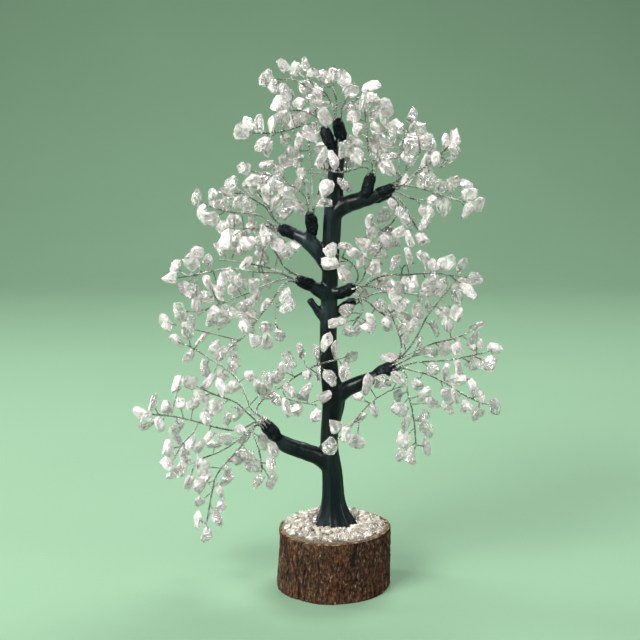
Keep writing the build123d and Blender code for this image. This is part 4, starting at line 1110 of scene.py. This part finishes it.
# Deep cracks are painted nearly black: painted shade in the cracks.
dark = board.blend(board.spread(board.tally("crack"), 0.35, 1.0), flecked, (0.0035, 0.002, 0.0015))
tan = board.ramp(board.noise(500, detail=4), [(0.36, (0.022, 0.012, 0.007)), (0.5, (0.10, 0.058, 0.032)),
                                              (0.64, (0.30, 0.205, 0.125))])
bark_finish = board.finish(board.principled(
    Base_Color=board.blend(board.spread(board.tally("cut"), 0.3, 0.7), dark, tan),
    Roughness=board.spread(streak, 0.3, 0.7, 0.62, 0.92),
    Specular_IOR_Level=0.08,
    Normal=board.bump(streak * 0.9 + fleck * 0.5, 0.0009, 0.9),
))
bark.data.materials.append(bark_finish)

# %% [markdown]
# ## End grain
#
# Inside the bark the wood shows its yearly rings and the marks of the saw. Only the underside is open to view, and
# it is what a hand turns over first. Rings are bands of the distance from the heart, bent a little by noise. On
# top the glue has run over the wood and taken up the quartz dust, so there it is sandy, and its colour is painted
# dark so that it reads as painted shade in the gaps between the gravel.

# %% Wood material
board = Board("sawn_end_grain")
distance = board.node("ShaderNodeVectorMath", {"operation": "LENGTH"}, {0: board.place(1, 1, 0)}, output="Value")
bend = board.noise(60, 60, 0, detail=2)
rings = board.node("ShaderNodeMath", {"operation": "SINE"}, {0: (distance + bend * 0.004) * 4200})
pores = board.noise(1400, 1400, 30)
saw = board.noise(60, 1500, 60, detail=2)
high = board.node("ShaderNodeSeparateXYZ", None, {0: board.place(1)}, output="Z")
bare = board.ramp(rings * 0.3 + pores * 0.5, [(0.05, (0.30, 0.17, 0.085)), (0.35, (0.48, 0.31, 0.17)),
                                              (0.6, (0.60, 0.43, 0.27))])
wood_finish = board.finish(board.principled(
    # The top is a dark sand colour: sandy glue, darkened as painted shade between the grains.
    Base_Color=board.blend(board.spread(high, 32.2 * mm, 32.8 * mm), bare, (0.10, 0.078, 0.054)),
    Roughness=board.spread(pores, 0.3, 0.7, 0.6, 0.85),
    Normal=board.bump(pores + saw * 0.6, 0.0004, 0.5),
))
nodes["wood_slice"].material_slots[0].material = wood_finish

# %% [markdown]
# ## The glue bed
#
# The gravel is set in clear glue that has yellowed a little. Between the grains it looks wet and sandy, because it
# holds quartz dust, and its colour is painted dark as painted shade in the gaps between the grains.

# %% Glue material
board = Board("sandy_glue_and_shade")
grit = board.noise(1100, detail=4, roughness=0.7)
glue_finish = board.finish(board.principled(
    # The ramp is kept dark: sandy glue, with painted shade between the grains.
    Base_Color=board.ramp(grit, [(0.3, (0.045, 0.034, 0.023)), (0.5, (0.12, 0.095, 0.068)),
                                 (0.7, (0.30, 0.265, 0.21))]),
    Roughness=board.spread(grit, 0.3, 0.7, 0.18, 0.5),
    Normal=board.bump(grit, 0.0008, 0.8),
))
nodes["glue_bed"].material_slots[0].material = glue_finish

# %% [markdown]
# ## Quartz gravel
#
# The gravel is crushed quartz, on the same melted cuts as the chips, with fewer and larger flats. Each grain takes
# the place of its solid, turned as it is and 1.2 to 1.6 times its size, because the real grains touch one another.

# %% Gravel grains
def crushed(count):
    """Unit grains: random flat cuts on a coarse grid of directions, with tiny rings for poles."""
    return unit_stones(directions(np.linspace(0.02, pi - 0.02, 5), 8), *random_cuts(count, 0.5, 0.95))[:, ::-1]


gravel_solids = parts_in("quartz_gravel")
middle = middles(*gravel_solids)
ways = main_ways(*gravel_solids, middle)
ways[:, 2] = np.cross(ways[:, 0], ways[:, 1])
sizes = half_sizes(*gravel_solids, middle, ways)
grown = sizes[:, None, None] * dice.uniform(1.2, 1.6, (len(sizes), 1, 1, 3))
grains = set_down(crushed(len(sizes)) * grown, ways, middle)
print("grains", len(grains), "mean size of their solids, mm", np.round(sizes.mean(axis=0) * 2 / mm, 2))

# %% [markdown]
# ## Crumbs between the grains
#
# Crushing also leaves crumbs. They could be scattered by chance alone, but that leaves bare spots. Here each lies a
# golden angle on from the last, with the square root of a random share as its distance from the heart, so they are
# as dense everywhere. Their height follows the heap: a curve of the second power, fitted to the grains' middles.

# %% Crumbs, and the whole gravel
crumbs = 430
golden_angle = pi * (3 - 5 ** 0.5)
crumb_shape = (1, 0.8, 0.45)
heap = np.polyfit(np.hypot(middle[:, 0], middle[:, 1]), middle[:, 2], 2)
far = np.sqrt(dice.uniform(0.16, 1, crumbs)) * (inner_radius - 1.9 * mm)
angle = np.arange(crumbs) * golden_angle
half = dice.uniform(1.2, 2.0, crumbs)[:, None] * mm * dice.uniform(0.8, 1.2, (crumbs, 3)) * crumb_shape
seat = np.stack([far * np.cos(angle), far * np.sin(angle), np.polyval(heap, far) - 0.2 * mm], axis=1)
up = unit(np.array([0, 0, 1]) + 0.35 * dice.normal(size=(crumbs, 3)))
beside = unit(np.cross(up, dice.normal(size=(crumbs, 3))))
frames = np.stack([np.cross(beside, up), beside, up], axis=1)
grains = np.concatenate([grains, set_down(crushed(crumbs) * half[:, None, None], frames, seat)])
grains[..., 2] = np.clip(grains[..., 2], *(corner[2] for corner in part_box("quartz_gravel")))
bundle = Bundle()
for grid, tone in zip(grains, dice.uniform(0, 1, len(grains))):
    bundle.add(grid, tone=tone)
gravel = bundle.write("crushed_quartz", "gravel", "quartz_gravel", smooth=False)
gravel.data.materials.append(quartz("crushed_quartz", clear_tint=(0.98, 0.94, 0.86), milk_tint=(0.97, 0.90, 0.79),
                                    milk_low=0.1, milk_high=0.62, lean=0.5, heart=1.0, flaws=0.2))
print("gravel faces", len(bundle.faces))
